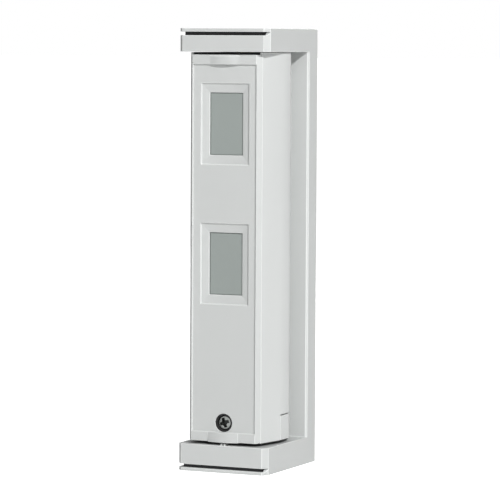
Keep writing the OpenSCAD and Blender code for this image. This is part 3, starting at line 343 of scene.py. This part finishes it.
# turned shape: each ring (radius, height) goes round a line along y, its radius one number or one for each angle
def turned(rings, centre, around=64, closed=False):
    radius = np.array([np.broadcast_to(r, around) for r, h in rings], float)
    height = np.repeat(np.array([h for r, h in rings], float)[:, None], around, 1)
    angle = np.linspace(0, 2 * math.pi, around, endpoint=False)
    points = np.stack([radius * np.cos(angle), height, radius * np.sin(angle)], -1).reshape(-1, 3)
    return points + np.asarray(centre, float), [gridFaces(len(rings), around, closed, True)]


# radius of a square with soft corners at each angle: half * (|cos|^p + |sin|^p)^(-1/p)
def squareRadius(half, around=64, power=14):
    angle = np.linspace(0, 2 * math.pi, around, endpoint=False)
    return half * (np.abs(np.cos(angle)) ** power + np.abs(np.sin(angle)) ** power) ** (-1 / power)


# rounded block: a ball's surface pulled apart, each eighth of it towards one corner of the box;
# its radius is at most 0.98 of the smallest half, so that each side keeps a flat
def roundedBlock(low, high, radius, steps=3):
    low, high = np.asarray(low, float), np.asarray(high, float)
    middle, half = (low + high) / 2, (high - low) / 2
    radius = min(radius, 0.98 * half.min())
    quarter = np.linspace(0, math.pi / 2, steps + 1)
    longitude = (np.arange(4)[:, None] * math.pi / 2 + quarter).ravel()
    quadrant = np.repeat(np.arange(4), steps + 1)
    latitude = np.concatenate([quarter - math.pi / 2, quarter])
    side = np.repeat([-1.0, 1.0], steps + 1)
    across = np.stack([np.array([1, -1, -1, 1])[quadrant], np.array([1, 1, -1, -1])[quadrant]], -1)
    ball = np.stack([np.cos(latitude)[:, None] * np.cos(longitude), np.cos(latitude)[:, None] * np.sin(longitude),
                     np.repeat(np.sin(latitude)[:, None], len(longitude), 1)], -1)
    corner = np.concatenate([np.broadcast_to(across, (len(latitude),) + across.shape),
                             np.broadcast_to(side[:, None, None], (len(latitude), len(longitude), 1))], -1)
    points = (middle + corner * (half - radius) + ball * radius).reshape(-1, 3)
    rows, cols = len(latitude), len(longitude)
    ends = np.stack([np.arange(cols)[::-1], np.arange((rows - 1) * cols, rows * cols)])
    return points, [gridFaces(rows, cols, False, True), ends]


# strip: a rectangle follows a path, its first size along a fixed direction, its second square to that and the path
def strip(path, fixed, sizes):
    path, fixed = np.asarray(path, float), np.asarray(fixed, float)
    along = np.gradient(path, axis=0)
    along /= np.linalg.norm(along, axis=1)[:, None]
    out = np.cross(along, fixed) * sizes[1] / 2
    up = np.broadcast_to(fixed * sizes[0] / 2, path.shape)
    corners = np.stack([path + out + up, path - out + up, path - out - up, path + out - up], 1)
    count = len(path)
    ends = np.stack([np.arange(4), np.arange(4 * count - 1, 4 * count - 5, -1)])
    return corners.reshape(-1, 3), [gridFaces(count, 4, False, True), ends]


# sheet: a front and a back height over the same grid, closed along its four sides
def sheet(x, z, front, back):
    rows, cols = x.shape
    points = np.concatenate([np.stack([x, front, z], -1).reshape(-1, 3), np.stack([x, back, z], -1).reshape(-1, 3)])
    index = np.arange(rows * cols).reshape(rows, cols)
    rim = np.concatenate([index[0, :-1], index[:-1, -1], index[-1, :0:-1], index[:0:-1, 0]])
    nextRim = np.roll(rim, -1)
    size = rows * cols
    skin = gridFaces(rows, cols)
    return points, [skin, skin[:, ::-1] + size, np.stack([rim, rim + size, nextRim + size, nextRim], -1)]


# shapes as one: each one's faces count on from the points before it
def joined(shapes):
    starts = np.cumsum([0] + [len(points) for points, blocks in shapes])
    return (np.concatenate([points for points, blocks in shapes]),
            [block + start for (points, blocks), start in zip(shapes, starts) for block in blocks])


# the same shape moved to each place
def copied(shape, places):
    return joined([(shape[0] + np.asarray(place, float), shape[1]) for place in places])


clean = {"merge": 2e-7, "thin": 1e-8}  # metres


# a finished piece: doubles merged, faces turned outwards, edges sharper than the angle kept sharp
def newPiece(name, shape, finish, body, stands=(), sharp=35):
    points, blocks = shape
    mesh = bpy.data.meshes.new(name)
    mesh.from_pydata((points * mm).tolist(), [], [face for block in blocks for face in block.tolist()])
    bm = bmesh.new()
    bm.from_mesh(mesh)
    bmesh.ops.remove_doubles(bm, verts=bm.verts, dist=clean["merge"])
    bmesh.ops.dissolve_degenerate(bm, edges=bm.edges, dist=clean["thin"])
    bmesh.ops.recalc_face_normals(bm, faces=bm.faces)
    for face in bm.faces:
        face.smooth = True
    bm.to_mesh(mesh)
    bm.free()
    mesh.set_sharp_from_angle(angle=math.radians(sharp))
    mesh.materials.append(finishes[finish])
    piece = bpy.data.objects.new(name, mesh)
    bpy.context.scene.collection.objects.link(piece)
    if stands:
        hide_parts(*stands)
    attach(piece, body)
    return piece


# a CAD node's lowest and highest corners in mm
def boxOf(node):
    low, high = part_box(node)
    return np.array(low) / mm, np.array(high) / mm


# how far a value is up a slope of that length, held between 0 and 1: value / length
def ramp(value, length):
    return np.clip(value / length, 0, 1)


screwForm = {
    "endSlope": 0.08, "sideSlope": 0.05, "under": 0.05,  # shares of the head's radius
    "shallower": 0.3, "edgeSteps": 6,  # a cross recess loses this share of its depth towards its ends
    "turnSteps": 10, "fadeOut": 6, "leastThread": 0.15, "tip": 0.3, "tipL": 0.5,  # thread and point of the shank
}


# one bar of a recess: full depth inside, none outside, a slope between
def driveBar(screw, lengthways, across):
    return np.minimum(ramp(screw["driveL"] / 2 - np.abs(lengthways), screwForm["endSlope"] * screw["headR"]),
                      ramp(screw["driveW"] / 2 - np.abs(across), screwForm["sideSlope"] * screw["headR"]))


# screw: the head's height over a round grid is dome * (1 - (r / R)^2) less a recess that narrows with depth;
# below it the side, the flat underside and a shank, whose radius falls and rises along a helix
def screwShape(screw):
    headR, headH, dome, edge, around = (screw[key] for key in ("headR", "headH", "dome", "edge", "around"))
    angle = np.linspace(0, 2 * math.pi, around, endpoint=False)
    r, a = np.meshgrid(np.linspace(0, headR - edge, screw["rings"]), angle, indexing="ij")
    x, z = r * np.cos(a), r * np.sin(a)
    turn = math.radians(screw["turn"])
    u, w = x * math.cos(turn) + z * math.sin(turn), -x * math.sin(turn) + z * math.cos(turn)
    drive = driveBar(screw, u, w)
    if screw["cross"]:
        core = ramp(screw["driveW"] - r, screwForm["endSlope"] * headR)
        outwards = 1 - screwForm["shallower"] * ramp(2 * r, screw["driveL"])
        drive = np.maximum(np.maximum(drive, driveBar(screw, w, u)) * outwards, core)
    top = np.stack([x, -(headH - dome + dome * (1 - (r / headR) ** 2) - screw["driveD"] * drive), z], -1)
    bend = np.linspace(0, math.pi / 2, screwForm["edgeSteps"])[1:]
    startY = headH - dome + dome * (1 - ((headR - edge) / headR) ** 2)
    under = screwForm["under"] * headR
    sideR = np.concatenate([headR - edge + edge * np.sin(bend), [headR, headR - under]])
    sideY = -np.concatenate([startY - edge * (1 - np.cos(bend)), [under, 0.0]])
    rows = [top, np.stack([sideR[:, None] * np.cos(angle), np.repeat(sideY[:, None], around, 1),
                           sideR[:, None] * np.sin(angle)], -1)]
    endY = screw["shankL"]
    if endY:
        v = np.linspace(0, 1, int(endY / screw["pitch"] * screwForm["turnSteps"]))
        turns = v * endY / screw["pitch"]
        phase = turns[:, None] - angle / (2 * math.pi)
        fade = np.minimum(np.clip(turns, 0, 1), np.clip((1 - v) * screwForm["fadeOut"], screwForm["leastThread"], 1))
        groove = screw["threadShare"] * (1 - np.abs(2 * (phase % 1.0) - 1)) * fade[:, None]
        narrowing = 1 - screwForm["tip"] * (1 - ramp((1 - v) * endY, screwForm["tipL"]))
        shankR = screw["shankR"] * (1 - groove) * narrowing[:, None]
        rows.append(np.stack([shankR * np.cos(angle), np.repeat((v * endY)[:, None], around, 1),
                              shankR * np.sin(angle)], -1))
    last = np.zeros((1, around, 3))
    last[..., 1] = endY
    rows = np.concatenate(rows + [last])
    return rows.reshape(-1, 3), [gridFaces(len(rows), around, False, True)]


# cover's lock screw, with painted shade in its recess: a dark steel on faces deeper than darkFrom under the domed
# front, up to darkTo from the head's underside and darkReach times the recess's length across
lockScrew = {"headR": 3.8, "headH": 2.6, "dome": 0.9, "edge": 0.9, "rings": 42, "around": 96, "cross": True,
             "driveL": 5.2, "driveW": 1.6, "driveD": 2.0, "turn": 20, "shankR": 1.95, "pitch": 0.7,
             "threadShare": 0.14, "darkFrom": 0.3, "darkTo": 0.05, "darkReach": 1.1}
low, high = boxOf("lock_screw")
lockScrew["shankL"] = high[1] - low[1] - lockScrew["headH"]
lockAxis = np.array([(low[0] + high[0]) / 2, low[1] + lockScrew["headH"], (low[2] + high[2]) / 2])
lockPiece = newPiece("lockScrewTurned", copied(screwShape(lockScrew), [lockAxis]), "lockSteel", "lock_screw",
                     ["lock_screw"], sharp=28)
# the recess faces take a dark steel as painted shade
lockPiece.data.materials.append(finishes["recessPaintedShade"])
centres = np.empty(len(lockPiece.data.polygons) * 3)
lockPiece.data.polygons.foreach_get("center", centres)
centres = centres.reshape(-1, 3) / mm - lockAxis
fromAxis = np.hypot(centres[:, 0], centres[:, 2])
domeY = lockScrew["dome"] * (fromAxis / lockScrew["headR"]) ** 2 - lockScrew["headH"]
inRecess = ((2 * fromAxis < lockScrew["darkReach"] * lockScrew["driveL"])
            & (centres[:, 1] > domeY + lockScrew["darkFrom"]) & (centres[:, 1] < -lockScrew["darkTo"]))
lockPiece.data.polygons.foreach_set("material_index", inRecess.astype(np.int32))

# its cup seal: a floor under the head and a rim round it, each corner cut in two steps
seal = {"hole": 2.1, "floor": 1.7, "play": 0.15, "soft": 0.12, "cut": 0.3, "around": 72}
low, high = boxOf("lock_screw_washer")
middle = (low + high) / 2
rimR = lockScrew["headR"] + seal["play"]
outer, tall, soft = (high[0] - low[0]) / 2, high[1] - low[1], seal["soft"]
cut = seal["cut"] * soft
sealRings = [(seal["hole"], 0), (outer - soft, 0), (outer - cut, -cut), (outer, -soft), (outer, soft - tall),
             (outer - cut, cut - tall), (outer - soft, -tall), (rimR + soft, -tall), (rimR + cut, cut - tall),
             (rimR, soft - tall), (rimR, -seal["floor"]), (seal["hole"], -seal["floor"])]
newPiece("lockCupSeal", turned(sealRings, (middle[0], high[1], middle[2]), seal["around"], closed=True),
         "rubberBlack", "lock_seat", ["lock_screw_washer"])
print("lock screw made")

# plate, board and terminal screws, one shape for each kind, whose shanks are as long as in the CAD
plateScrew = {"headH": 1.8, "dome": 0.5, "edge": 0.25, "rings": 24, "around": 64, "cross": True, "driveL": 3.4,
              "driveW": 0.8, "driveD": 1.0, "turn": 32, "shankR": 1.45, "pitch": 0.8, "threadShare": 0.18}
boardScrew = {"headR": 2.1, "headH": 1.4, "dome": 0.4, "edge": 0.2, "rings": 20, "around": 48, "cross": True,
              "driveL": 2.6, "driveW": 0.6, "driveD": 0.8, "turn": 45, "shankR": 1.08, "pitch": 0.6,
              "threadShare": 0.16}
terminalScrew = {"headR": 1.6, "headH": 1.2, "dome": 0.12, "edge": 0.15, "rings": 18, "around": 48, "cross": False,
                 "driveL": 4.0, "driveW": 0.5, "driveD": 0.5, "turn": 8, "shankL": 0}
terminals = {"count": 6, "pitch": 5.0}


# a piece of equal screws, one at each place
def screwPiece(name, node, screw, places):
    newPiece(name, copied(screwShape(screw), places), "steelPlated", bodyOf[node], [node], sharp=28)


low, high = boxOf("plate_screws")
plateScrew["headR"] = (high[0] - low[0]) / 2
plateScrew["shankL"] = high[1] - low[1] - plateScrew["headH"]
ends = [low[2] + plateScrew["headR"], high[2] - plateScrew["headR"]]
screwPiece("plateScrewsTurned", "plate_screws", plateScrew, [(0, low[1] + plateScrew["headH"], z) for z in ends])
low, high = boxOf("board_screws")
boardScrew["shankL"] = high[1] - low[1] - boardScrew["headH"]
reach = (high[0] - low[0]) / 2 - boardScrew["headR"]
ends = [low[2] + boardScrew["headR"], high[2] - boardScrew["headR"]]
boardScrewPlaces = [(side * reach, low[1] + boardScrew["headH"], z) for side in (-1, 1) for z in ends]
screwPiece("boardScrewsTurned", "board_screws", boardScrew, boardScrewPlaces)
low, high = boxOf("terminal_screws")
first = low[0] + terminalScrew["headR"]
screwPiece("terminalScrewsSlotted", "terminal_screws", terminalScrew,
           [(first + i * terminals["pitch"], high[1], (low[2] + high[2]) / 2) for i in range(terminals["count"])])
print("screws made")

# lens sheets: the back has ring grooves round each segment's middle, which fade in from plain inside the rim on,
# groove = depth * (distance / pitch - floor(distance / pitch)); the front falls back towards the frame,
# fall = rimFall * ((rimEnd - distance to the rim) / rimWidth)^2, held between 0 and rimFall
lens = {"across": 120, "along": 190, "segmentsAcross": 1, "segmentsAlong": 2, "pitch": 1.1, "depth": 0.22,
        "plain": 1.4, "fade": 0.2, "rimFall": 0.35, "rimEnd": 2.2, "rimWidth": 0.7, "edgeFall": 0.12,
        "edgeWidth": 0.4}
for name in ("upper_lens", "lower_lens"):
    low, high = boxOf(name)
    x, z = np.meshgrid(np.linspace(low[0], high[0], lens["across"]), np.linspace(low[2], high[2], lens["along"]),
                       indexing="ij")
    size = np.array([(high[0] - low[0]) / lens["segmentsAcross"], (high[2] - low[2]) / lens["segmentsAlong"]])
    column = np.clip(np.floor((x - low[0]) / size[0]), 0, lens["segmentsAcross"] - 1)
    row = np.clip(np.floor((z - low[2]) / size[1]), 0, lens["segmentsAlong"] - 1)
    distance = np.hypot(x - low[0] - (column + 0.5) * size[0], z - low[2] - (row + 0.5) * size[1])
    toRim = np.minimum(np.minimum(x - low[0], high[0] - x), np.minimum(z - low[2], high[2] - z))
    frontFall = lens["rimFall"] * ramp(lens["rimEnd"] - toRim, lens["rimWidth"]) ** 2
    backFall = lens["edgeFall"] * ramp(lens["edgeWidth"] - toRim, lens["edgeWidth"]) ** 2
    groove = lens["depth"] * ((distance / lens["pitch"]) % 1.0) * ramp(toRim - lens["plain"], lens["fade"])
    newPiece(name.split("_")[0] + "LensSheet", sheet(x, z, low[1] + frontFall, high[1] - groove - backFall),
             "lensSheet", bodyOf[name], [name], sharp=40)
print("lens sheets made")

# sensor cans with a flange and a square window, and the filter panes behind it
can = {"r": 4.1, "flangeR": 4.6, "flangeT": 0.5, "flangeEdge": 0.1, "flangeUnder": 0.08, "neck": 0.12, "neckH": 0.14,
       "edge": 0.32, "edgeSteps": 6, "window": 2.35, "windowD": 0.5, "windowRim": 1.06, "windowEdge": 0.06}
bend = np.linspace(0, math.pi / 2, can["edgeSteps"])
for name in ("upper_sensor", "lower_sensor"):
    low, high = boxOf(name)
    middle = (low + high) / 2
    h = high[1] - low[1]
    hole = squareRadius(can["window"])
    rings = [(0, 0), (can["flangeR"] - can["flangeEdge"], 0), (can["flangeR"], -can["flangeEdge"]),
             (can["flangeR"], can["flangeUnder"] - can["flangeT"]),
             (can["flangeR"] - can["flangeUnder"], -can["flangeT"]), (can["r"] + can["neck"], -can["flangeT"]),
             (can["r"], -can["flangeT"] - can["neckH"])]
    rings += [(can["r"] - can["edge"] * (1 - math.cos(b)), -(h - can["edge"]) - can["edge"] * math.sin(b))
              for b in bend]
    rings += [(hole * can["windowRim"], -h), (hole, -h + can["windowEdge"]), (hole, -h + can["windowD"]),
              (0, -h + can["windowD"])]
    newPiece(name.split("_")[0] + "SensorCan", turned(rings, (middle[0], high[1], middle[2])), "canSteel",
             bodyOf[name], [name], sharp=30)
pane = {"front": 0.1, "back": 0.05, "edge": 0.06}
low, high = boxOf("sensor_filters")
half = (high[0] - low[0]) / 2
panes = [roundedBlock((-half, low[1] + pane["front"], z - half), (half, high[1] + pane["back"], z + half),
                      pane["edge"]) for z in (low[2] + half, high[2] - half)]
newPiece("filterPanes", joined(panes), "filterGlass", bodyOf["sensor_filters"],
         ["sensor_filters"])

# capacitors: aluminium cans with a crimp near the foot and a dished end, in a sleeve that covers the rim;
# both profiles run from the foot along the side and in over the end
cap = {"sleeve": 0.16, "foot": 0.2, "crimp": 0.3, "crimpZ": 1.5, "crimpHalf": 0.4, "shoulder": 0.35, "step": 0.12,
       "rim": 0.05, "dish": 0.25, "dishIn": 0.6}
sleeve = {"start": 0.3, "edge": 0.1, "crimpHalf": 0.5, "crimpShare": 0.7, "shoulder": 0.15, "end": 0.02, "lip": 0.5,
          "lipT": 0.08, "inside": 0.25, "overlap": 0.02}
low, high = boxOf("capacitors")
middle = (low + high) / 2
capR, h = (high[2] - low[2]) / 2, high[1] - low[1]
inner = capR - cap["sleeve"]
places = [(low[0] + capR, high[1], middle[2]), (high[0] - capR, high[1], middle[2])]
rings = [(0, 0), (inner - cap["foot"], 0), (inner, -cap["foot"]), (inner, cap["crimpHalf"] - cap["crimpZ"]),
         (inner - cap["crimp"], -cap["crimpZ"]), (inner, -cap["crimpZ"] - cap["crimpHalf"]),
         (inner, cap["shoulder"] - h), (inner - cap["step"], cap["step"] - h),
         (inner - cap["shoulder"], cap["rim"] - h), (inner - cap["dishIn"], cap["rim"] + cap["dish"] - h),
         (0, cap["dish"] - h)]
newPiece("capacitorCans", copied(turned(rings, (0, 0, 0)), places), "canSteel", bodyOf["capacitors"],
         ["capacitors"], sharp=30)
rings = [(capR - sleeve["edge"], -sleeve["start"]), (capR, -sleeve["start"] - sleeve["edge"]),
         (capR, sleeve["crimpHalf"] - cap["crimpZ"]), (capR - sleeve["crimpShare"] * cap["crimp"], -cap["crimpZ"]),
         (capR, -cap["crimpZ"] - sleeve["crimpHalf"]), (capR, sleeve["shoulder"] - h),
         (capR - sleeve["edge"], sleeve["end"] - h), (capR - sleeve["lip"], -h),
         (capR - sleeve["lip"], sleeve["lipT"] - h), (inner - sleeve["overlap"], sleeve["inside"] - h),
         (inner - sleeve["overlap"], -sleeve["start"])]
newPiece("capacitorSleeves", copied(turned(rings, (0, 0, 0), closed=True), places), "darkPlastic", "head",
         sharp=30)

# walk-test LED: a flange, a plain side and a half ball
led = {"flangeH": 0.8, "step": 0.3, "edge": 0.1, "ballSteps": 12}
low, high = boxOf("walk_test_led")
middle = (low + high) / 2
ledR, h = (high[0] - low[0]) / 2, high[1] - low[1]
ball = ledR - led["step"]
rings = [(0, 0), (ledR, 0), (ledR, led["edge"] - led["flangeH"]), (ledR - led["edge"], -led["flangeH"]),
         (ball, -led["flangeH"])]
rings += [(ball * math.cos(b), ball - h - ball * math.sin(b)) for b in np.linspace(0, math.pi / 2, led["ballSteps"])]
newPiece("ledDome", turned(rings, (middle[0], high[1], middle[2])), "ledRed", "head",
         ["walk_test_led"], sharp=30)
print("sensors, capacitors and LED made")

# chip: a rounded body, and gull-wing legs along its two sides that follow one path
chip = {"legs": 7, "pitch": 1.27, "legL": 1.0, "legW": 0.42, "legT": 0.16, "edge": 0.12, "off": 0.12, "ends": 0.1,
        "legPath": [(-0.2, -0.75), (0.25, -0.75), (0.36, -0.68), (0.42, -0.55), (0.5, -0.22), (0.58, -0.12),
                    (0.7, -0.09), (0.98, -0.09)]}  # out from the body's side, and in front of the board
low, high = boxOf("processor_chip")
middle = (low + high) / 2
newPiece("chipBody", roundedBlock((low[0] + chip["legL"], low[1], low[2] + chip["ends"]),
                                  (high[0] - chip["legL"], high[1] - chip["off"], high[2] - chip["ends"]),
                                  chip["edge"]),
         "darkPlastic", "head", ["processor_chip"])
sideX = (high[0] - low[0]) / 2 - chip["legL"]
outward, ahead = np.array(chip["legPath"]).T
legZ = (np.arange(chip["legs"]) - (chip["legs"] - 1) / 2) * chip["pitch"]
legs = []
for side in (-1, 1):
    path = np.stack([side * (sideX + outward), ahead, np.zeros(len(outward))], -1)
    leg = strip(path, (0, 0, 1), (chip["legW"], chip["legT"]))
    legs.append(copied(leg, [(middle[0], high[1], middle[2] + z) for z in legZ]))
newPiece("chipLegs", joined(legs), "steelPlated", "head")

# relay: a box on a slightly wider foot
relay = {"foot": 1.2, "footEdge": 0.2, "in": 0.15, "edge": 0.45, "edgeSteps": 4, "overlap": 0.1}
low, high = boxOf("alarm_relay")
shrink = np.array([relay["in"], 0, relay["in"]])
boxTop = high - shrink - (0, relay["foot"] - relay["overlap"], 0)
newPiece("relayCase", joined([roundedBlock(low + shrink, boxTop, relay["edge"], relay["edgeSteps"]),
                              roundedBlock((low[0], high[1] - relay["foot"], low[2]), high, relay["footEdge"])]),
         "relayWhite", "head", ["alarm_relay"])

# dip sliders with a thumb ridge, riding on their own bodies
slider = {"top": 0.2, "edge": 0.1, "ridgeSides": 0.55, "ridgeEnds": 0.1, "ridgeH": 0.5}
for i in range(1, 5):
    name = "dip_slider_%d" % i
    low, high = boxOf(name)
    foot = roundedBlock((low[0], low[1] + slider["top"], low[2]), high, slider["edge"])
    ridge = roundedBlock((low[0] + slider["ridgeSides"], low[1], low[2] + slider["ridgeEnds"]),
                         (high[0] - slider["ridgeSides"], low[1] + slider["ridgeH"], high[2] - slider["ridgeEnds"]),
                         slider["edge"])
    newPiece("dipSlider%d" % i, joined([foot, ridge]), "relayWhite", bodyOf[name], [name])
print("chip, relay and sliders made")

# tracks on the board: each path runs along z, steps aside at 45 degrees with eased corners and runs on
board = {"trackW": 0.42, "trackH": 0.035, "stagger": 1.1, "padH": 0.05, "via": 0.42, "viaHole": 0.18, "ring": 3.0,
         "ringHole": 2.3, "around": 24}
stepAside = {"aside": (0, 0, 0.15, 0.85, 1, 1), "along": (0, 0.2, 0.8, 1)}  # shares of the sideways step
boardY = boxOf("main_board")[0][1]


# a track's middle line: x goes aside by the jog and z on by as much, in the same shares, between two straight ends
def trackPath(x, z, jog, bend, end):
    xs = x + jog * np.array(stepAside["aside"])
    zs = np.concatenate([[z], z + bend * (end - z) + abs(jog) * np.array(stepAside["along"]), [end]])
    return np.stack([xs, np.full(len(xs), boardY - board["trackH"] / 2), zs], -1)


bundles = [  # first x, pitch, count, start z, end z, sideways step, where it steps
    (-14.0, 1.1, 4, 51.0, 70.6, -1.6, 0.45), (11.4, 1.1, 4, 51.0, 70.4, -1.2, 0.5),
    (-3.2, 1.6, 2, 64.0, 86.0, 2.6, 0.5), (13.2, 0.9, 4, 83.0, 138.0, 0.5, 0.12),
    (-16.6, 0.9, 4, 82.6, 137.6, 0.4, 0.1), (-15.5, 1.27, 6, 150.2, 156.0, 0.9, 0.4),
    (-16.9, 0.9, 3, 157.0, 197.0, 0.5, 0.1), (13.4, 0.9, 4, 149.5, 199.0, 0.4, 0.2),
    (3.0, 1.2, 4, 128.0, 138.6, -1.4, 0.4), (3.4, 1.2, 6, 150.0, 160.0, 1.2, 0.4),
]
tracks, viaPlaces = [], []
for x, pitch, count, z, end, jog, bend in bundles:
    for i in range(count):
        shift = board["stagger"] * (i % 2)
        path = trackPath(x + i * pitch, z + shift, jog, bend, end - shift)
        tracks.append(strip(path, (0, 1, 0), (board["trackH"], board["trackW"])))
        viaPlaces += [(path[0][0], boardY, path[0][2]), (path[-1][0], boardY, path[-1][2])]
newPiece("boardTracks", joined(tracks), "trackGreen", "head")


# a flat ring on the board: a rectangle turned round its middle
def flatRing(outer, hole):
    height = board["padH"]
    return turned([(outer, 0), (outer, -height), (hole, -height), (hole, 0)], (0, 0, 0), board["around"], closed=True)


pads = [copied(flatRing(board["via"], board["viaHole"]), viaPlaces),
        copied(flatRing(board["ring"], board["ringHole"]), [(p[0], boardY, p[2]) for p in boardScrewPlaces])]
newPiece("boardPads", joined(pads), "padTin", "head")

# small chip parts: (x, z, upright) rows, a body and two metal ends that it overlaps
small = {"long": 2.0, "wide": 1.25, "high": 0.55, "end": 0.4, "endShare": 0.8, "bodyEdge": 0.06, "endEdge": 0.08,
         "endLift": 0.04, "edgeSteps": 2}
smallPlaces = [
    (-12.4, 66.4, 0), (-8.6, 67.0, 1), (-5.8, 67.2, 1), (0.6, 68.0, 0), (4.4, 66.8, 1), (7.2, 68.4, 0),
    (-14.2, 84.6, 1), (3.4, 77.0, 1), (5.8, 77.0, 1), (3.4, 81.6, 1), (6.4, 85.0, 0), (-9.4, 130.2, 0),
    (-6.2, 130.2, 0), (-12.6, 133.6, 1), (-9.4, 133.8, 1), (-6.6, 134.0, 1), (9.6, 130.4, 0), (12.4, 131.0, 1),
    (-2.4, 142.0, 1), (-0.2, 142.0, 1), (2.2, 142.0, 1), (4.6, 142.0, 1), (-2.2, 147.6, 0), (1.8, 147.6, 0),
    (5.0, 147.0, 1), (-7.0, 153.4, 0), (-3.6, 153.4, 0), (0.2, 154.8, 1), (-15.2, 201.4, 1), (-8.0, 202.2, 0),
    (-4.4, 202.2, 0), (3.6, 202.4, 0), (7.8, 202.2, 0), (-6.0, 40.0, 0), (1.0, 39.4, 0), (6.5, 39.6, 0),
]
raised, lift = np.array([0, small["high"], 0]), np.array([0, small["endLift"], 0])
bodies, metalEnds = [], []
for x, z, upright in smallPlaces:
    lengthways = np.array([0, 0, 1] if upright else [1, 0, 0])
    size = np.array([small["wide"], 0, small["long"]] if upright else [small["long"], 0, small["wide"]]) / 2
    at = np.array([x, boardY, z])
    inset = lengthways * small["end"] * small["endShare"]
    other = lengthways * (small["long"] - small["end"])  # from one metal end to the other
    bodies.append(roundedBlock(at - size + inset - raised, at + size - inset, small["bodyEdge"], small["edgeSteps"]))
    for near, far in ((at - size, at + size - other), (at - size + other, at + size)):
        metalEnds.append(roundedBlock(near - raised - lift, far, small["endEdge"], small["edgeSteps"]))
newPiece("chipPartBodies", joined(bodies), "darkPlastic", "head")
newPiece("chipPartEnds", joined(metalEnds), "padTin", "head")
print("board finished:", len(tracks), "tracks,", len(smallPlaces), "chip parts")

# floor, light and camera; the room is brightest in front of the object,
# its strength = fill * (fillBase + fillFront * how far a ray points to the front)
studio = {
    "floorSize": 60.0, "floorTone": (0.9, 0.9, 0.9, 1), "floorGlow": 1.0,
    "fill": 0.385, "fillBase": 0.32, "fillFront": 1.5, "fillTone": (0.992, 1, 0.994, 1), "target": (0.0, 0.0, 0.115),
    "keyPower": 26.3, "keySize": 0.15, "keyDistance": 1.9, "keyFrom": (0.659, -0.562, 0.5),
    "backPower": 11.0, "backSize": 0.7, "backDistance": 1.6, "backFrom": (-0.1, 1.0, 0.25),
}
floorMesh = bpy.data.meshes.new("studioFloor")
reach = studio["floorSize"] / 2
floorMesh.from_pydata([(-reach, -reach, 0), (reach, -reach, 0), (reach, reach, 0), (-reach, reach, 0)], [],
                      [(0, 1, 2, 3)])
floor = bpy.data.objects.new("studioFloor", floorMesh)
bpy.context.scene.collection.objects.link(floor)
floorFinish = material("floorPaper", mouldedGroup, {"Tone": studio["floorTone"], "Roughness": 0.9,
                       "Grain Scale": 300.0, "Variation": 0.0}, Specular_IOR_Level=0.1,
                       Emission_Color=(1, 1, 1, 1))
# the floor looks white to the camera and lights the object as plain paper does
glow = mathNode(floorFinish.node_tree, "MULTIPLY",
                addNode(floorFinish.node_tree, "ShaderNodeLightPath").outputs["Is Camera Ray"], studio["floorGlow"])
feed(floorFinish.node_tree, floorFinish.node_tree.nodes["Principled BSDF"].inputs["Emission Strength"], glow)
floorMesh.materials.append(floorFinish)

world = bpy.data.worlds.new("studioWorld")
bpy.context.scene.world = world
world.use_nodes = True
tree = world.node_tree
tree.nodes.clear()
seen = addNode(tree, "ShaderNodeBackground")
seen.inputs["Color"].default_value = (1, 1, 1, 1)
seen.inputs["Strength"].default_value = 1.0
lighting = addNode(tree, "ShaderNodeBackground")
lighting.inputs["Color"].default_value = studio["fillTone"]
ray = addNode(tree, "ShaderNodeSeparateXYZ")
feed(tree, ray.inputs[0], addNode(tree, "ShaderNodeTexCoord").outputs["Generated"])
frontward = mathNode(tree, "MULTIPLY", ray.outputs["Y"], -studio["fillFront"] * studio["fill"], clamp=True)
feed(tree, lighting.inputs["Strength"], mathNode(tree, "ADD", frontward, studio["fillBase"] * studio["fill"]))
mix = addNode(tree, "ShaderNodeMixShader")
feed(tree, mix.inputs[0], addNode(tree, "ShaderNodeLightPath").outputs["Is Camera Ray"])
feed(tree, mix.inputs[1], lighting.outputs[0])
feed(tree, mix.inputs[2], seen.outputs[0])
feed(tree, addNode(tree, "ShaderNodeOutputWorld").inputs["Surface"], mix.outputs[0])

for name in ("key", "back"):
    light = bpy.data.lights.new(name + "Light", "AREA")
    light.shape = "DISK"
    light.size = studio[name + "Size"]
    light.energy = studio[name + "Power"]
    lamp = bpy.data.objects.new(name + "Light", light)
    bpy.context.scene.collection.objects.link(lamp)
    toward = Vector(studio[name + "From"]).normalized()
    lamp.location = Vector(studio["target"]) + toward * studio[name + "Distance"]
    lamp.rotation_euler = toward.to_track_quat("Z", "Y").to_euler()

camera = {  # place in mm and angles in radians, solved for the photograph's framing; near and far in metres
    "place": (671.76, -1464.19, 224.25), "yaw": 0.42946, "pitch": 0.06863, "roll": 0.0050,
    "lens": 222.4, "sensor": 36.0, "near": 0.05, "far": 60,
}
yaw, pitch, roll = camera["yaw"], camera["pitch"], camera["roll"]
forward = Vector((-math.sin(yaw) * math.cos(pitch), math.cos(yaw) * math.cos(pitch), -math.sin(pitch)))
right = Vector((math.cos(yaw), math.sin(yaw), 0))
up = right.cross(forward)
camRight = right * math.cos(roll) + up * math.sin(roll)
camUp = up * math.cos(roll) - right * math.sin(roll)
cam = bpy.data.cameras.new("studioCamera")
cam.sensor_width = camera["sensor"]
cam.lens = camera["lens"]
cam.clip_start = camera["near"]
cam.clip_end = camera["far"]
eye = bpy.data.objects.new("studioCamera", cam)
bpy.context.scene.collection.objects.link(eye)
axes = Matrix((camRight, camUp, -forward)).transposed().to_4x4()
eye.matrix_world = Matrix.Translation(Vector(camera["place"]) * mm) @ axes
bpy.context.scene.camera = eye
bpy.context.scene.view_settings.view_transform = "Standard"
print("studio ready")

bpy.context.view_layer.update()
